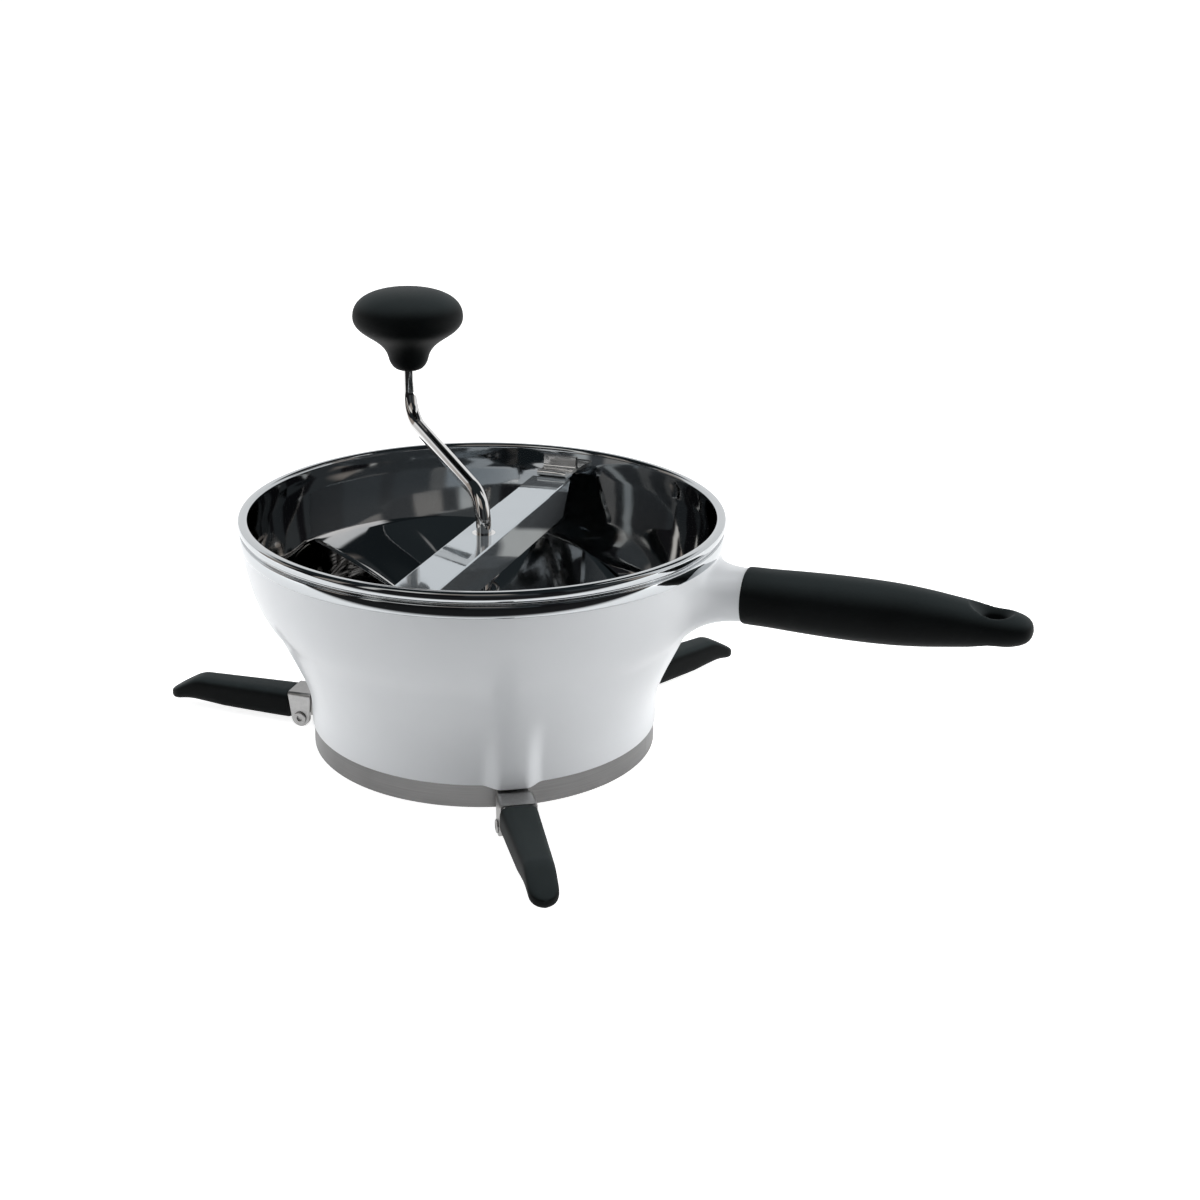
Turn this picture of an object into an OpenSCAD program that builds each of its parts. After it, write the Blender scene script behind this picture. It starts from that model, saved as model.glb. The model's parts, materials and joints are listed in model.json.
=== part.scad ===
// Rotary kitchen mill for ricing and mashing boiled potatoes.
// A polished steel bowl sits in a white moulded shell with a soft-grip handle.
// A sprung crossbar under two clips carries the crank, which turns a two-winged
// blade over a perforated disc. Three legs fold flat under the base.
// Height 0 is the bottom edge of the base band; the crank turns about the Z axis.

/* [Bowl] */
// Radius to the middle of the rolled rim
rim_radius = 107.4; // [104:0.1:112]
// Radius of the rolled bead on the rim
rim_bead = 2.3; // [1.8:0.1:2.8]
// Height of the middle of the rolled bead
rim_height = 108.2; // [106:0.1:114]
// Thickness of the bowl's steel sheet
bowl_wall = 0.9; // [0.6:0.1:1.2]
// Height of the steel skirt that is turned down over the shell
skirt_height = 5; // [4:0.5:7]
// Width of the ledge that the disc rests on
ledge_width = 6; // [4:0.5:10]

/* [Shell] */
// Outer radius of the shell where it meets the base band
foot_radius = 79.8; // [76:0.1:84]
// Height at which the foot starts to flare
flare_height = 20; // [16:1:24]
// Height of the crease between the flare and the rounded upper bowl
crease_height = 60; // [57:0.5:63]
// Outer radius at the crease
crease_radius = 94.8; // [92:0.1:98]
// Wall of the moulded shell
shell_wall = 2.4; // [1.8:0.1:3]
// Gap between the shell and the steel bowl
shell_gap = 0.3; // [0.2:0.1:0.5]
// How far each leg boss stands out of the foot
boss_depth = 5.6; // [4:0.1:7]
// Radius of the rounded front of a leg boss
boss_radius = 12.5; // [10:0.5:15]

/* [Base band] */
// Visible height of the brushed band
band_height = 10.8; // [9:0.1:14]
// Thickness of the band's sheet
band_wall = 1.1; // [0.8:0.1:1.6]
// Width of the flange that is turned in under the bowl
band_flange = 8.5; // [5:0.5:10]

/* [Handle] */
// Height of the handle's axis
handle_height = 85; // [82:0.5:86]
// Distance from the bowl's axis to the front of the soft grip
grip_start = 123; // [120:1:130]
// Length of the soft grip
grip_length = 124.5; // [110:0.5:140]
// Height of the grip at its fullest
grip_height = 27.2; // [25:0.1:29]
// Width of the grip at its fullest
grip_width = 28; // [24:0.5:31]
// Radius of the hanging hole
hang_radius = 4.6; // [3.5:0.1:5.2]
// Distance from the grip's end to the middle of the hanging hole
hang_inset = 16.5; // [15:0.5:20]
// Radius of the spine inside the grip, at its root
spine_radius = 8.5; // [7:0.1:9.5]
// Length of the spine inside the grip
spine_length = 78; // [60:1:88]

/* [Crossbar] */
// Depth of the bar's top face below the middle of the rolled bead
bar_drop = 9.2; // [8:0.1:11]
// Width of the bar
bar_width = 20; // [18:0.5:22]
// Depth of the bar's side flanges
bar_depth = 16.5; // [13:0.5:17]
// Thickness of the bar's sheet
bar_sheet = 1.5; // [1:0.1:1.8]
// Distance from the bead's middle line in to the end of the bar's full-width part
bar_setback = 16.4; // [14.5:0.1:21]
// Width of the tongue at each end
tongue_width = 14; // [10:0.5:15]
// How far the bar can be pushed down against its spring
press_travel = 5; // [4:0.5:5]

/* [Clips] */
// Width of a clip
clip_width = 17; // [15:0.5:20]
// Thickness of a clip's sheet
clip_sheet = 1.2; // [1:0.1:1.4]
// How far a clip reaches in from the bowl's wall
clip_length = 12.6; // [10:0.1:14]
// Radius of the rolled lip
clip_lip = 1.4; // [1:0.1:1.6]

/* [Crank] */
// Radius of the crank rod
rod_radius = 3.5; // [3:0.1:4]
// Distance from the axis to the knob's stem
crank_reach = 90; // [80:1:95]
// Height above the bar of the corner where the rod leaves the axis
elbow_lift = 16; // [15:0.5:19]
// Rise from that corner to the one where the rod turns up into the knob
crank_rise = 16; // [12:0.5:20]
// Radius of both bends, at the rod's middle line
bend_radius = 15.5; // [12:0.5:16]
// Direction of the crank, seen from above, with the handle at 0
crank_turn = 135; // [0:5:355]

/* [Knob] */
// Height of the knob's lower end above the rod's upper corner
knob_lift = 23.6; // [21:0.2:27]
// Height of the knob from end to end
knob_height = 39; // [36:0.5:42]
// Radius of the knob at its fullest
knob_radius = 26.5; // [22:0.5:30]
// Radius of the hard core inside the knob
core_radius = 7.2; // [6:0.1:8]
// Depth of the rod's end below the top of the knob
rod_end_depth = 9; // [8:0.5:12]

/* [Blade] */
// Thickness of the blade's sheet
blade_sheet = 1; // [0.8:0.1:1.5]
// Gap between the blade's scraping edge and the disc
blade_lift = 1; // [0.6:0.1:1.5]
// Gap between the blade's outer edge and the bowl
blade_gap = 2.6; // [2:0.1:4]
// Gap between the wings' leading corners and the bar when it is pushed down
wing_gap = 2.5; // [1.5:0.1:5]
// Angle that each wing spans
wing_span = 152; // [120:1:160]
// Direction of the first wing's scraping edge
wing_turn = 8; // [0:1:359]
// Outer radius of the blade's sleeve
sleeve_radius = 8; // [7.6:0.1:10]
// Height of the top of the sleeve
sleeve_top = 46; // [44:0.5:50]
// Height of the cross pin that fixes the blade to the rod
pin_height = 30; // [22:0.5:34]
// Radius of the cross pin
pin_radius = 1.5; // [1.2:0.1:2]

/* [Disc] */
// Thickness of the perforated disc
disc_sheet = 1.3; // [1:0.1:2]
// Radius of each hole in the disc
hole_radius = 2; // [1.5:0.1:2.4]
// Distance between neighbouring holes
hole_pitch = 8.2; // [7:0.1:10]

/* [Spring] */
// Mean radius of the spring
spring_radius = 6.3; // [5.8:0.1:6.8]
// Radius of the spring's wire
wire_radius = 0.75; // [0.5:0.05:0.9]
// Number of turns in the spring
spring_turns = 8; // [6:1:10]

/* [Legs] */
// Distance from the bowl's axis to a leg's rivet
pivot_reach = 91.5; // [91:0.1:93]
// Depth of the rivet below the band's bottom edge
pivot_drop = 2.6; // [2.5:0.1:3.2]
// Radius of the rounded lobe round the rivet
lobe_radius = 4.5; // [4:0.1:4.8]
// Distance from the bowl's axis to the tip of an open leg
leg_reach = 163; // [152:0.5:168]
// Width of a leg at its root
leg_width = 16.8; // [15:0.1:19]
// Width of a leg at its tip
leg_tip_width = 12.4; // [10:0.1:14]
// Depth of a leg at its deepest
leg_depth = 14.8; // [14.4:0.1:15]
// Thickness of the bracket's and the lug's sheet
leg_sheet = 1.2; // [1:0.1:1.4]
// Radius of the rivet's shank
rivet_radius = 2.25; // [1.8:0.05:2.5]

/* [Hidden] */

$fn = 96;
// Fine clearance of a part that turns or slides on a shaft
running_fit = 0.06;
// Gap kept between parts of different bodies that pass each other
side_gap = 0.3;
// Extra length of a cutter beyond the face it cuts
past = 1;
// Directions of the legs, with the handle at 0
back_turn = 182;
left_turn = 60;
right_turn = -60;
// Directions of the clips
clip_left_turn = 90;
clip_right_turn = -90;

// Bowl and shell sizes that follow from the ones above
skirt_sheet = 0.8;
skirt_top = rim_height - 3.7;
skirt_bottom = skirt_top - skirt_height;
skirt_radius = rim_radius + 1.9;
brow_radius = skirt_radius - skirt_sheet;
bowl_inset = shell_wall + shell_gap;
band_radius = foot_radius - 0.3;
ledge_height = band_wall + 0.1;
disc_bottom = ledge_height + bowl_wall;
disc_top = disc_bottom + disc_sheet;
foot_inside = foot_radius - bowl_inset - bowl_wall;
outlet_radius = foot_inside - ledge_width;
disc_radius = foot_inside - 0.4;
shell_top = skirt_top - bowl_wall - side_gap;

// Bar and crank sizes that follow
bar_top = rim_height - bar_drop;
bar_bottom = bar_top - bar_depth;
bar_reach = rim_radius - bar_setback;
wing_top = bar_bottom - press_travel - wing_gap;
clip_bottom = bar_top + side_gap;
clip_reach = rim_radius - rim_bead - clip_length;
tongue_reach = rim_radius - rim_bead - 2.6;
bush_bore = rod_radius + running_fit;
bush_radius = rod_radius + 1.8;
bush_flange = bar_width / 2 - bar_sheet - 1;
bush_flange_top = bar_top - bar_sheet;
bush_flange_bottom = bush_flange_top - 1.6;
washer_sheet = 1;
hub_radius = sleeve_radius - 1.4;
elbow_height = bar_top + elbow_lift;
wrist_height = elbow_height + crank_rise;
elbow_rise = atan(crank_rise / crank_reach);
bend_sweep = 90 - elbow_rise;
bend_setback = bend_radius * tan(bend_sweep / 2);
rod_bottom = ledge_height;
// Swelling of the rod's radius round its bends
bend_swell = 0.05;

// Knob sizes that follow
knob_bottom = wrist_height + knob_lift;
knob_top = knob_bottom + knob_height;
rod_top = knob_top - rod_end_depth;
cap_sheet = 2.2;
core_foot = knob_bottom + 0.4;
core_seat = rod_top - cap_sheet - side_gap;
core_head = rod_top + 3;
// Length of the taper at the core's foot
core_taper = 9;

// Leg sizes that follow
pivot_height = -pivot_drop;
bracket_width = leg_width - 0.4;
bracket_top = 10;
bracket_inner = foot_radius + boss_depth + 0.6;
bracket_outer = pivot_reach + 6.3;
lug_width = bracket_width - 2 * leg_sheet - 2 * side_gap;
lug_top = bracket_top - leg_sheet - side_gap;
tang_width = leg_tip_width - 4.4;
tang_bottom = bracket_top - 2 * leg_sheet + 0.1;
tang_end = leg_reach - 22;

// Seat of a hanging hole, from the grip's end
grip_end = grip_start + grip_length;
hang_place = grip_end - hang_inset;

function mix(a, b, t) = a + (b - a) * t;
function bezier(a, b, c, d, steps) = [
    for (i = [0:steps])
        let (t = i / steps, s = 1 - t)
            s * s * s * a + 3 * s * s * t * b + 3 * s * t * t * c + t * t * t * d
];
function arc_points(cx, cy, r, from, to, steps) = [
    for (i = [0:steps])
        let (a = mix(from, to, i / steps)) [cx + r * cos(a), cy + r * sin(a)]
];
function unit(v) = v / norm(v);
function smooth(t) = t * t * (3 - 2 * t);

// Outer line of the shell from the foot up to the brow, moved inwards by inset
function wall_line(inset) = let (
    foot = [foot_radius + 0.4, flare_height],
    crease = [crease_radius, crease_height],
    brow = [skirt_radius - 0.6, skirt_bottom - 0.3],
    flare = bezier(foot, foot + [0.3, 13], crease - [6.4, 15.5], crease, 9),
    dome = bezier(crease, crease + [8.2, 9], brow - [2.2, 18], brow, 10)
) [
    for (p = flare) p - [inset, 0],
    for (i = [1:len(dome) - 1]) dome[i] - [inset, 0]
];

// Radius of a line of points at height z
function radius_at(line, z, i = 1) = z <= line[0][1] ? line[0][0]
    : i >= len(line) - 1 || z <= line[i][1]
        ? mix(line[i - 1][0], line[i][0],
              min(1, (z - line[i - 1][1]) / (line[i][1] - line[i - 1][1])))
    : radius_at(line, z, i + 1);

// Closed skin through rings of points that all have the same count
module loft(rings) {
    count = len(rings[0]);
    last = len(rings) - 1;
    polyhedron(
        points = [for (ring = rings) each ring],
        faces = [
            [for (i = [0:count - 1]) i],
            for (k = [0:last - 1], i = [0:count - 1])
                each let (
                    a = k * count + i,
                    b = k * count + (i + 1) % count
                ) [[a, a + count, b], [b, a + count, b + count]],
            [for (i = [count - 1:-1:0]) last * count + i]
        ],
        convexity = 6
    );
}

// Rounded section across the X axis: power 2 is an ellipse, higher is squarer
function section(x, low, high, half, power, count) = let (
    mid = (low + high) / 2,
    rise = (high - low) / 2
) [
    for (i = [0:count - 1])
        let (a = 360 * i / count, c = cos(a), s = sin(a))
            [x, half * sign(c) * pow(abs(c), 2 / power), mid + rise * sign(s) * pow(abs(s), 2 / power)]
];

// Polished bowl: ledge, flared wall, rolled bead and the skirt turned down outside
module bowl() {
    inside = wall_line(bowl_inset + bowl_wall);
    outside = wall_line(bowl_inset);
    top_inside = rim_radius - rim_bead;
    color("gainsboro")
        rotate_extrude()
            polygon(concat(
                [[outlet_radius, ledge_height], [outlet_radius, disc_bottom], [foot_inside, disc_bottom]],
                inside,
                [[top_inside, skirt_top]],
                arc_points(rim_radius, rim_height, rim_bead, 180, -50, 14),
                [
                    [rim_radius + 0.6, skirt_top],
                    [skirt_radius, skirt_top],
                    [skirt_radius, skirt_bottom],
                    [brow_radius, skirt_bottom],
                    [brow_radius, skirt_top - bowl_wall],
                    [top_inside + bowl_wall, skirt_top - bowl_wall]
                ],
                [for (i = [len(outside) - 1:-1:0]) outside[i]],
                [[foot_inside + bowl_wall, ledge_height]]
            ));
}

// Space that the shell and everything moulded with it must leave for the bowl
module bowl_space() {
    inside = wall_line(shell_wall);
    rotate_extrude()
        polygon(concat(
            [[0, -past], [foot_radius - shell_wall, -past]],
            inside,
            [
                [inside[len(inside) - 1][0], skirt_bottom],
                [rim_radius - rim_bead + bowl_wall + shell_gap, skirt_bottom],
                [rim_radius - rim_bead + bowl_wall + shell_gap, rim_height],
                [0, rim_height]
            ]
        ));
}

// Outline of a leg boss seen from above, with hollow fillets into the round foot
module boss_outline() {
    centre = foot_radius + boss_depth - boss_radius;
    fillet = 9;
    span = boss_radius + fillet;
    hug = foot_radius - 1.6 + fillet;
    // Height of the triangle between the bowl's axis, the boss and the fillet
    along = (hug * hug - span * span + centre * centre) / (2 * centre);
    across = sqrt(hug * hug - along * along);
    lean = atan2(across, along);
    tip = atan2(across, along - centre);
    polygon(concat(
        [[centre - boss_radius, -across * 0.7]],
        arc_points(along, -across, fillet, 180 - lean, 180 - tip, 6),
        arc_points(centre, 0, boss_radius, -tip, tip, 16),
        arc_points(along, across, fillet, 180 + tip, 180 + lean, 6),
        [[centre - boss_radius, across * 0.7]]
    ));
}

// White neck that grows out of the wall and carries the handle
module neck() {
    stations = [0, 0.1, 0.2, 0.32, 0.46, 0.62, 0.8, 0.93, 1];
    root = crease_radius + 1.5;
    face = grip_start - 0.25;
    top_root = skirt_bottom - 0.9;
    face_rise = 0.43 * grip_height;
    face_half = 0.435 * grip_width;
    loft([
        for (s = stations)
            let (
                x = mix(root, face, s),
                swell = pow(1 - s, 2.6),
                ease = s > 0.9 ? 0.5 * (s - 0.9) / 0.1 : 0,
                low = handle_height - face_rise - 3.5 * (1 - s) - 7.5 * swell + ease,
                high = mix(top_root, handle_height + face_rise, s) - ease,
                half = face_half + 2.6 * (1 - s) + 15 * swell - ease
            )
                section(x, low, high, half, 2.2 + 0.6 * (1 - s), 32)
    ]);
}

// White moulded shell with the neck, the handle's spine and three leg bosses
module outer_shell() {
    wall = wall_line(0);
    lip = brow_radius - 0.3;
    color("whitesmoke")
        union() {
            difference() {
                union() {
                    rotate_extrude()
                        polygon(concat(
                            [[foot_radius - 12, band_height - past], [foot_radius - 0.1, band_height - past]],
                            wall,
                            [
                                [lip, skirt_bottom - 0.3],
                                [lip, shell_top],
                                [foot_radius - 12, shell_top]
                            ]
                        ));
                    neck();
                    for (turn = [back_turn, left_turn, right_turn])
                        rotate([0, 0, turn])
                            translate([0, 0, band_height - 2 * past])
                                linear_extrude(crease_height - 12 - band_height)
                                    boss_outline();
                }
                bowl_space();
                translate([0, 0, band_height - 3 * past])
                    cylinder(h = 3 * past, r = foot_radius + 2 * boss_depth);
            }
            translate([grip_start - 2, 0, handle_height])
                rotate([0, 90, 0])
                    cylinder(h = spine_length + 2, r1 = spine_radius, r2 = spine_radius - 2);
        }
}

// Brushed band round the foot, with a flange turned in under the bowl
module base_band() {
    inside = band_radius - band_wall;
    edge = 0.4;
    color("silver")
        rotate_extrude()
            polygon([
                [inside - band_flange, 0],
                [band_radius - edge, 0],
                [band_radius, edge],
                [band_radius, band_height],
                [inside, band_height],
                [inside, band_wall],
                [inside - band_flange, band_wall]
            ]);
}

// Perforated disc that rests on the bowl's ledge
module grinding_disc() {
    rings = floor((disc_radius - 7 - 12) / hole_pitch);
    color("darkgray")
        difference() {
            rotate_extrude()
                polygon([
                    [bush_bore, disc_bottom],
                    [disc_radius, disc_bottom],
                    [disc_radius, disc_top],
                    [bush_bore, disc_top]
                ]);
            for (ring = [0:rings])
                let (r = 12 + ring * hole_pitch, holes = floor(2 * PI * r / hole_pitch))
                    for (i = [0:holes - 1])
                        rotate([0, 0, 360 * (i + 0.5 * (ring % 2)) / holes])
                            translate([r, 0, disc_bottom - past])
                                cylinder(h = disc_sheet + 2 * past, r = hole_radius, $fn = 16);
        }
}

// Soft grip: an oval body that swells in the palm and thins to a flat end
module handle_grip() {
    // Distance along the grip, height and width, each as a share of its size
    shape = [
        [0, 0.86, 0.87], [0.006, 0.9, 0.91], [0.09, 0.93, 0.94], [0.19, 0.965, 0.97], [0.28, 0.99, 0.99],
        [0.37, 1, 1], [0.46, 0.995, 0.985], [0.55, 0.965, 0.95], [0.64, 0.895, 0.89], [0.72, 0.8, 0.83],
        [0.79, 0.71, 0.785], [0.85, 0.635, 0.76], [0.9, 0.575, 0.735], [0.94, 0.51, 0.68],
        [0.97, 0.43, 0.57], [0.988, 0.32, 0.42], [0.997, 0.2, 0.25], [1, 0.08, 0.09]
    ];
    count = 32;
    // Height above the axis at which the hanging hole opens into its dish
    dish_depth = 4.2;
    color([0.13, 0.14, 0.15])
        difference() {
            loft([
                for (p = shape)
                    section(grip_start + p[0] * grip_length,
                            handle_height - p[1] * grip_height / 2,
                            handle_height + p[1] * grip_height / 2,
                            p[2] * grip_width / 2, 2.15, count)
            ]);
            translate([grip_start, 0, handle_height])
                rotate([0, 90, 0])
                    cylinder(h = spine_length, r1 = spine_radius - 2 * 2 / (spine_length + 2), r2 = spine_radius - 2);
            translate([hang_place, 0, handle_height - grip_height])
                cylinder(h = 2 * grip_height, r = hang_radius);
            for (side = [-1, 1])
                translate([hang_place, 0, handle_height])
                    rotate([side > 0 ? 0 : 180, 0, 0])
                        translate([0, 0, dish_depth])
                            cylinder(h = 4.8, r1 = hang_radius - 0.01, r2 = hang_radius + 5.9);
        }
}

// Clip under the rim: a tab welded to the wall, a shelf and a rolled lip
module bar_clip(turn) {
    wall = rim_radius - rim_bead;
    shelf = clip_bottom;
    color("gainsboro")
        rotate([0, 0, turn])
            union() {
                intersection() {
                    translate([clip_reach, -clip_width / 2, shelf])
                        cube([wall - clip_reach + past, clip_width, rim_height - 1.6 - shelf]);
                    union() {
                        difference() {
                            cylinder(h = rim_height, r = wall);
                            translate([0, 0, -past])
                                cylinder(h = rim_height + 2 * past, r = wall - clip_sheet);
                        }
                        difference() {
                            cylinder(h = shelf + clip_sheet, r = wall);
                            translate([0, 0, -past])
                                cylinder(h = shelf + past, r = wall);
                        }
                    }
                }
                translate([clip_reach, -clip_width / 2, shelf + clip_lip])
                    rotate([-90, 0, 0])
                        cylinder(h = clip_width, r = clip_lip);
            }
}

// Side view of the lug: an arm from the band and a stem down to the rivet
module lug_outline() {
    arm_bottom = 0.2;
    polygon([
        [foot_radius - 3, arm_bottom],
        [pivot_reach - lobe_radius, arm_bottom],
        [pivot_reach - lobe_radius, pivot_height],
        [pivot_reach + lobe_radius, pivot_height],
        [pivot_reach + lobe_radius, 0.5],
        [pivot_reach - 3, lug_top],
        [foot_radius - 3, lug_top]
    ]);
    translate([pivot_reach, pivot_height])
        circle(r = lobe_radius);
}

// Channel-shaped lug welded to the band, which carries a leg's rivet
module leg_lug(turn) {
    color("silver")
        rotate([0, 0, turn])
            difference() {
                translate([0, lug_width / 2, 0])
                    rotate([90, 0, 0])
                        linear_extrude(lug_width)
                            lug_outline();
                translate([0, leg_sheet - lug_width / 2, pivot_height - lobe_radius - past])
                    cube([
                        pivot_reach + 2 * lobe_radius,
                        lug_width - 2 * leg_sheet,
                        lug_top - leg_sheet - pivot_height + lobe_radius + past
                    ]);
                translate([0, 0, -lug_top])
                    cylinder(h = 3 * lug_top, r = band_radius);
                translate([pivot_reach, 0, pivot_height])
                    rotate([90, 0, 0])
                        cylinder(h = 2 * lug_width, r = rivet_radius, center = true);
            }
}

// Hollow rivet with a turned-over head at each end
module leg_rivet(turn) {
    shank = bracket_width + 2 * side_gap;
    head_sheet = 0.7;
    color("silver")
        rotate([0, 0, turn])
            translate([pivot_reach, 0, pivot_height])
                rotate([90, 0, 0])
                    difference() {
                        union() {
                            cylinder(h = shank, r = rivet_radius, center = true);
                            for (side = [-1, 1])
                                translate([0, 0, side * (shank + head_sheet) / 2])
                                    cylinder(h = head_sheet, r = rivet_radius + 0.9, center = true);
                        }
                        cylinder(h = 2 * shank, r = rivet_radius - 0.9, center = true);
                    }
}

// Leg bracket: an inverted channel with rounded cheeks and a tang into the grip
module leg_bracket(turn) {
    bend = 1.6;
    deep = bracket_top - pivot_height + lobe_radius;
    half = bracket_width / 2;
    color("silver")
        rotate([0, 0, turn])
            union() {
                difference() {
                    intersection() {
                        translate([0, half, 0])
                            rotate([90, 0, 0])
                                linear_extrude(bracket_width) {
                                    polygon([
                                        [bracket_inner, bracket_top],
                                        [bracket_outer, bracket_top],
                                        [pivot_reach + lobe_radius, pivot_height],
                                        [pivot_reach - lobe_radius, pivot_height],
                                        [bracket_inner, bracket_top - 4]
                                    ]);
                                    translate([pivot_reach, pivot_height])
                                        circle(r = lobe_radius);
                                }
                        translate([bracket_inner - past, 0, bracket_top])
                            rotate([90, 0, 90])
                                linear_extrude(bracket_outer - bracket_inner + 2 * past)
                                    polygon(concat(
                                        [[-half, -deep]],
                                        arc_points(-half + bend, -bend, bend, 180, 90, 5),
                                        arc_points(half - bend, -bend, bend, 90, 0, 5),
                                        [[half, -deep]]
                                    ));
                    }
                    translate([bracket_inner - past, leg_sheet - half, bracket_top - leg_sheet - deep - past])
                        cube([
                            bracket_outer - bracket_inner + 2 * past,
                            bracket_width - 2 * leg_sheet,
                            deep + past
                        ]);
                    translate([pivot_reach, 0, pivot_height])
                        rotate([90, 0, 0])
                            cylinder(h = 2 * bracket_width, r = rivet_radius + running_fit, center = true);
                }
                // The tang is lapped under the channel's top
                translate([bracket_outer - 2 * past, -tang_width / 2, tang_bottom])
                    cube([tang_end - bracket_outer + 2 * past, tang_width, leg_sheet]);
            }
}

// Soft leg with a flat top, a sloping nose and a small beak that hooks a pot's edge
module leg_grip(turn) {
    root = bracket_outer;
    length = leg_reach - root;
    // Share of the length, then underside and top as shares of the depth
    shape = [
        [0, -0.29, 0.65], [0.015, -0.31, 0.67], [0.25, -0.29, 0.665], [0.5, -0.265, 0.655],
        [0.7, -0.235, 0.65], [0.755, -0.225, 0.64], [0.8, -0.22, 0.58], [0.85, -0.23, 0.46],
        [0.9, -0.265, 0.32], [0.94, -0.285, 0.21], [0.97, -0.275, 0.125], [0.99, -0.21, 0.065],
        [1, -0.13, 0.01]
    ];
    color([0.13, 0.14, 0.15])
        rotate([0, 0, turn])
            difference() {
                loft([
                    for (p = shape)
                        let (
                            full = mix(leg_width, leg_tip_width, p[0]) / 2,
                            left = (1 - p[0]) * length,
                            round_end = left < full ? sqrt(max(0.02, 1 - pow(1 - left / full, 2))) : 1,
                            half = full * round_end - (p[0] == 0 ? 0.7 : 0)
                        )
                            section(root + p[0] * length, p[1] * leg_depth, p[2] * leg_depth, half, 3.6, 28)
                ]);
                translate([root - past, -tang_width / 2, tang_bottom])
                    cube([tang_end - root + past, tang_width, leg_sheet]);
            }
}

// Side profile of the crossbar's channel
module bar_profile() {
    bend = 2.2;
    half = bar_width / 2;
    inner = bend - bar_sheet;
    polygon(concat(
        [[-half, -bar_depth]],
        arc_points(-half + bend, -bend, bend, 180, 90, 5),
        arc_points(half - bend, -bend, bend, 90, 0, 5),
        [[half, -bar_depth], [half - bar_sheet, -bar_depth]],
        arc_points(half - bend, -bend, inner, 0, 90, 3),
        arc_points(-half + bend, -bend, inner, 90, 180, 3),
        [[-half + bar_sheet, -bar_depth]]
    ));
}

// Crossbar: an inverted channel with a flat tongue at each end
module crossbar() {
    slant_start = bar_reach - 12;
    slant_end = bar_reach - 4;
    slant_top = bar_bottom + 0.62 * (bar_depth - bar_sheet);
    color("gainsboro")
        difference() {
            union() {
                translate([0, bar_reach, bar_top])
                    rotate([90, 0, 0])
                        linear_extrude(2 * bar_reach)
                            bar_profile();
                translate([-tongue_width / 2, -tongue_reach, bar_top - bar_sheet])
                    cube([tongue_width, 2 * tongue_reach, bar_sheet]);
            }
            // The flanges are cut away at a slant towards each end
            for (side = [-1, 1])
                rotate([0, 0, side > 0 ? 0 : 180])
                    translate([-bar_width, 0, 0])
                        rotate([90, 0, 90])
                            linear_extrude(2 * bar_width)
                                polygon([
                                    [slant_start, bar_bottom - past],
                                    [slant_start, bar_bottom],
                                    [slant_end, slant_top],
                                    [bar_reach + past, slant_top],
                                    [bar_reach + past, bar_bottom - past]
                                ]);
            translate([0, 0, bar_top - bar_sheet - past])
                cylinder(h = bar_sheet + 2 * past, r = bush_radius);
        }
}

// Flanged bush that guides the rod through the crossbar
module bar_bush() {
    color("gainsboro")
        rotate_extrude()
            polygon([
                [bush_bore, bush_flange_bottom],
                [bush_flange, bush_flange_bottom],
                [bush_flange, bush_flange_top],
                [bush_radius, bush_flange_top],
                [bush_radius, bar_top],
                [bush_bore, bar_top]
            ]);
}

// Coil spring between the sleeve's washer and the bush
module bar_spring() {
    bottom = sleeve_top + washer_sheet + wire_radius + 0.05;
    top = bush_flange_bottom - wire_radius - 0.05;
    rings_per_turn = 14;
    sides = 8;
    total = spring_turns * rings_per_turn;
    // Closed end turns lie flat, the rest climb evenly
    function climb(k) = let (dead = rings_per_turn * 0.8)
        min(1, max(0, (k - dead) / (total - 2 * dead)));
    color("gray")
        loft([
            for (k = [0:total])
                let (
                    a = 360 * k / rings_per_turn,
                    z = mix(bottom, top, climb(k))
                ) [
                    for (i = [sides - 1:-1:0])
                        let (b = 360 * i / sides, r = spring_radius + wire_radius * cos(b))
                            [r * cos(a), r * sin(a), z + wire_radius * sin(b)]
                ]
        ]);
}

// One bend of the rod, turning from straight up towards the X axis
module rod_bend() {
    translate([bend_radius, 0, 0])
        rotate([90, 0, 0])
            rotate([0, 0, 180 - bend_sweep])
                rotate_extrude(angle = bend_sweep)
                    translate([bend_radius, 0])
                        circle(r = rod_radius + bend_swell);
}

// Crank rod: up the axis, out across the bowl and up again into the knob.
// The straight lengths run a little way into the slightly swollen bends.
module crank_rod() {
    lap = 0.9;
    slant = norm([crank_reach, crank_rise]) - 2 * bend_setback;
    color("gainsboro")
        rotate([0, 0, crank_turn])
            difference() {
                union() {
                    translate([0, 0, rod_bottom])
                        cylinder(h = elbow_height - bend_setback - rod_bottom + lap, r = rod_radius);
                    translate([0, 0, elbow_height - bend_setback])
                        rod_bend();
                    translate([0, 0, elbow_height])
                        rotate([0, 90 - elbow_rise, 0])
                            translate([0, 0, bend_setback - lap])
                                cylinder(h = slant + 2 * lap, r = rod_radius);
                    translate([crank_reach, 0, wrist_height + bend_setback])
                        rotate([0, 180, 0])
                            rod_bend();
                    translate([crank_reach, 0, wrist_height + bend_setback - lap])
                        cylinder(h = rod_top - wrist_height - bend_setback + lap, r = rod_radius);
                }
                pin_bore();
            }
}

// Cross bore of the pin that fixes the blade to the rod
module pin_bore() {
    translate([0, 0, pin_height])
        rotate([0, 90, 90])
            cylinder(h = 4 * sleeve_radius, r = pin_radius, center = true);
}

// Turned hub between the rod and the blade's sleeve
module blade_hub() {
    color("silver")
        rotate([0, 0, crank_turn])
            difference() {
                translate([0, 0, disc_top + blade_lift])
                    cylinder(h = sleeve_top - disc_top - blade_lift, r = hub_radius);
                cylinder(h = sleeve_top + past, r = rod_radius);
                pin_bore();
            }
}

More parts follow.
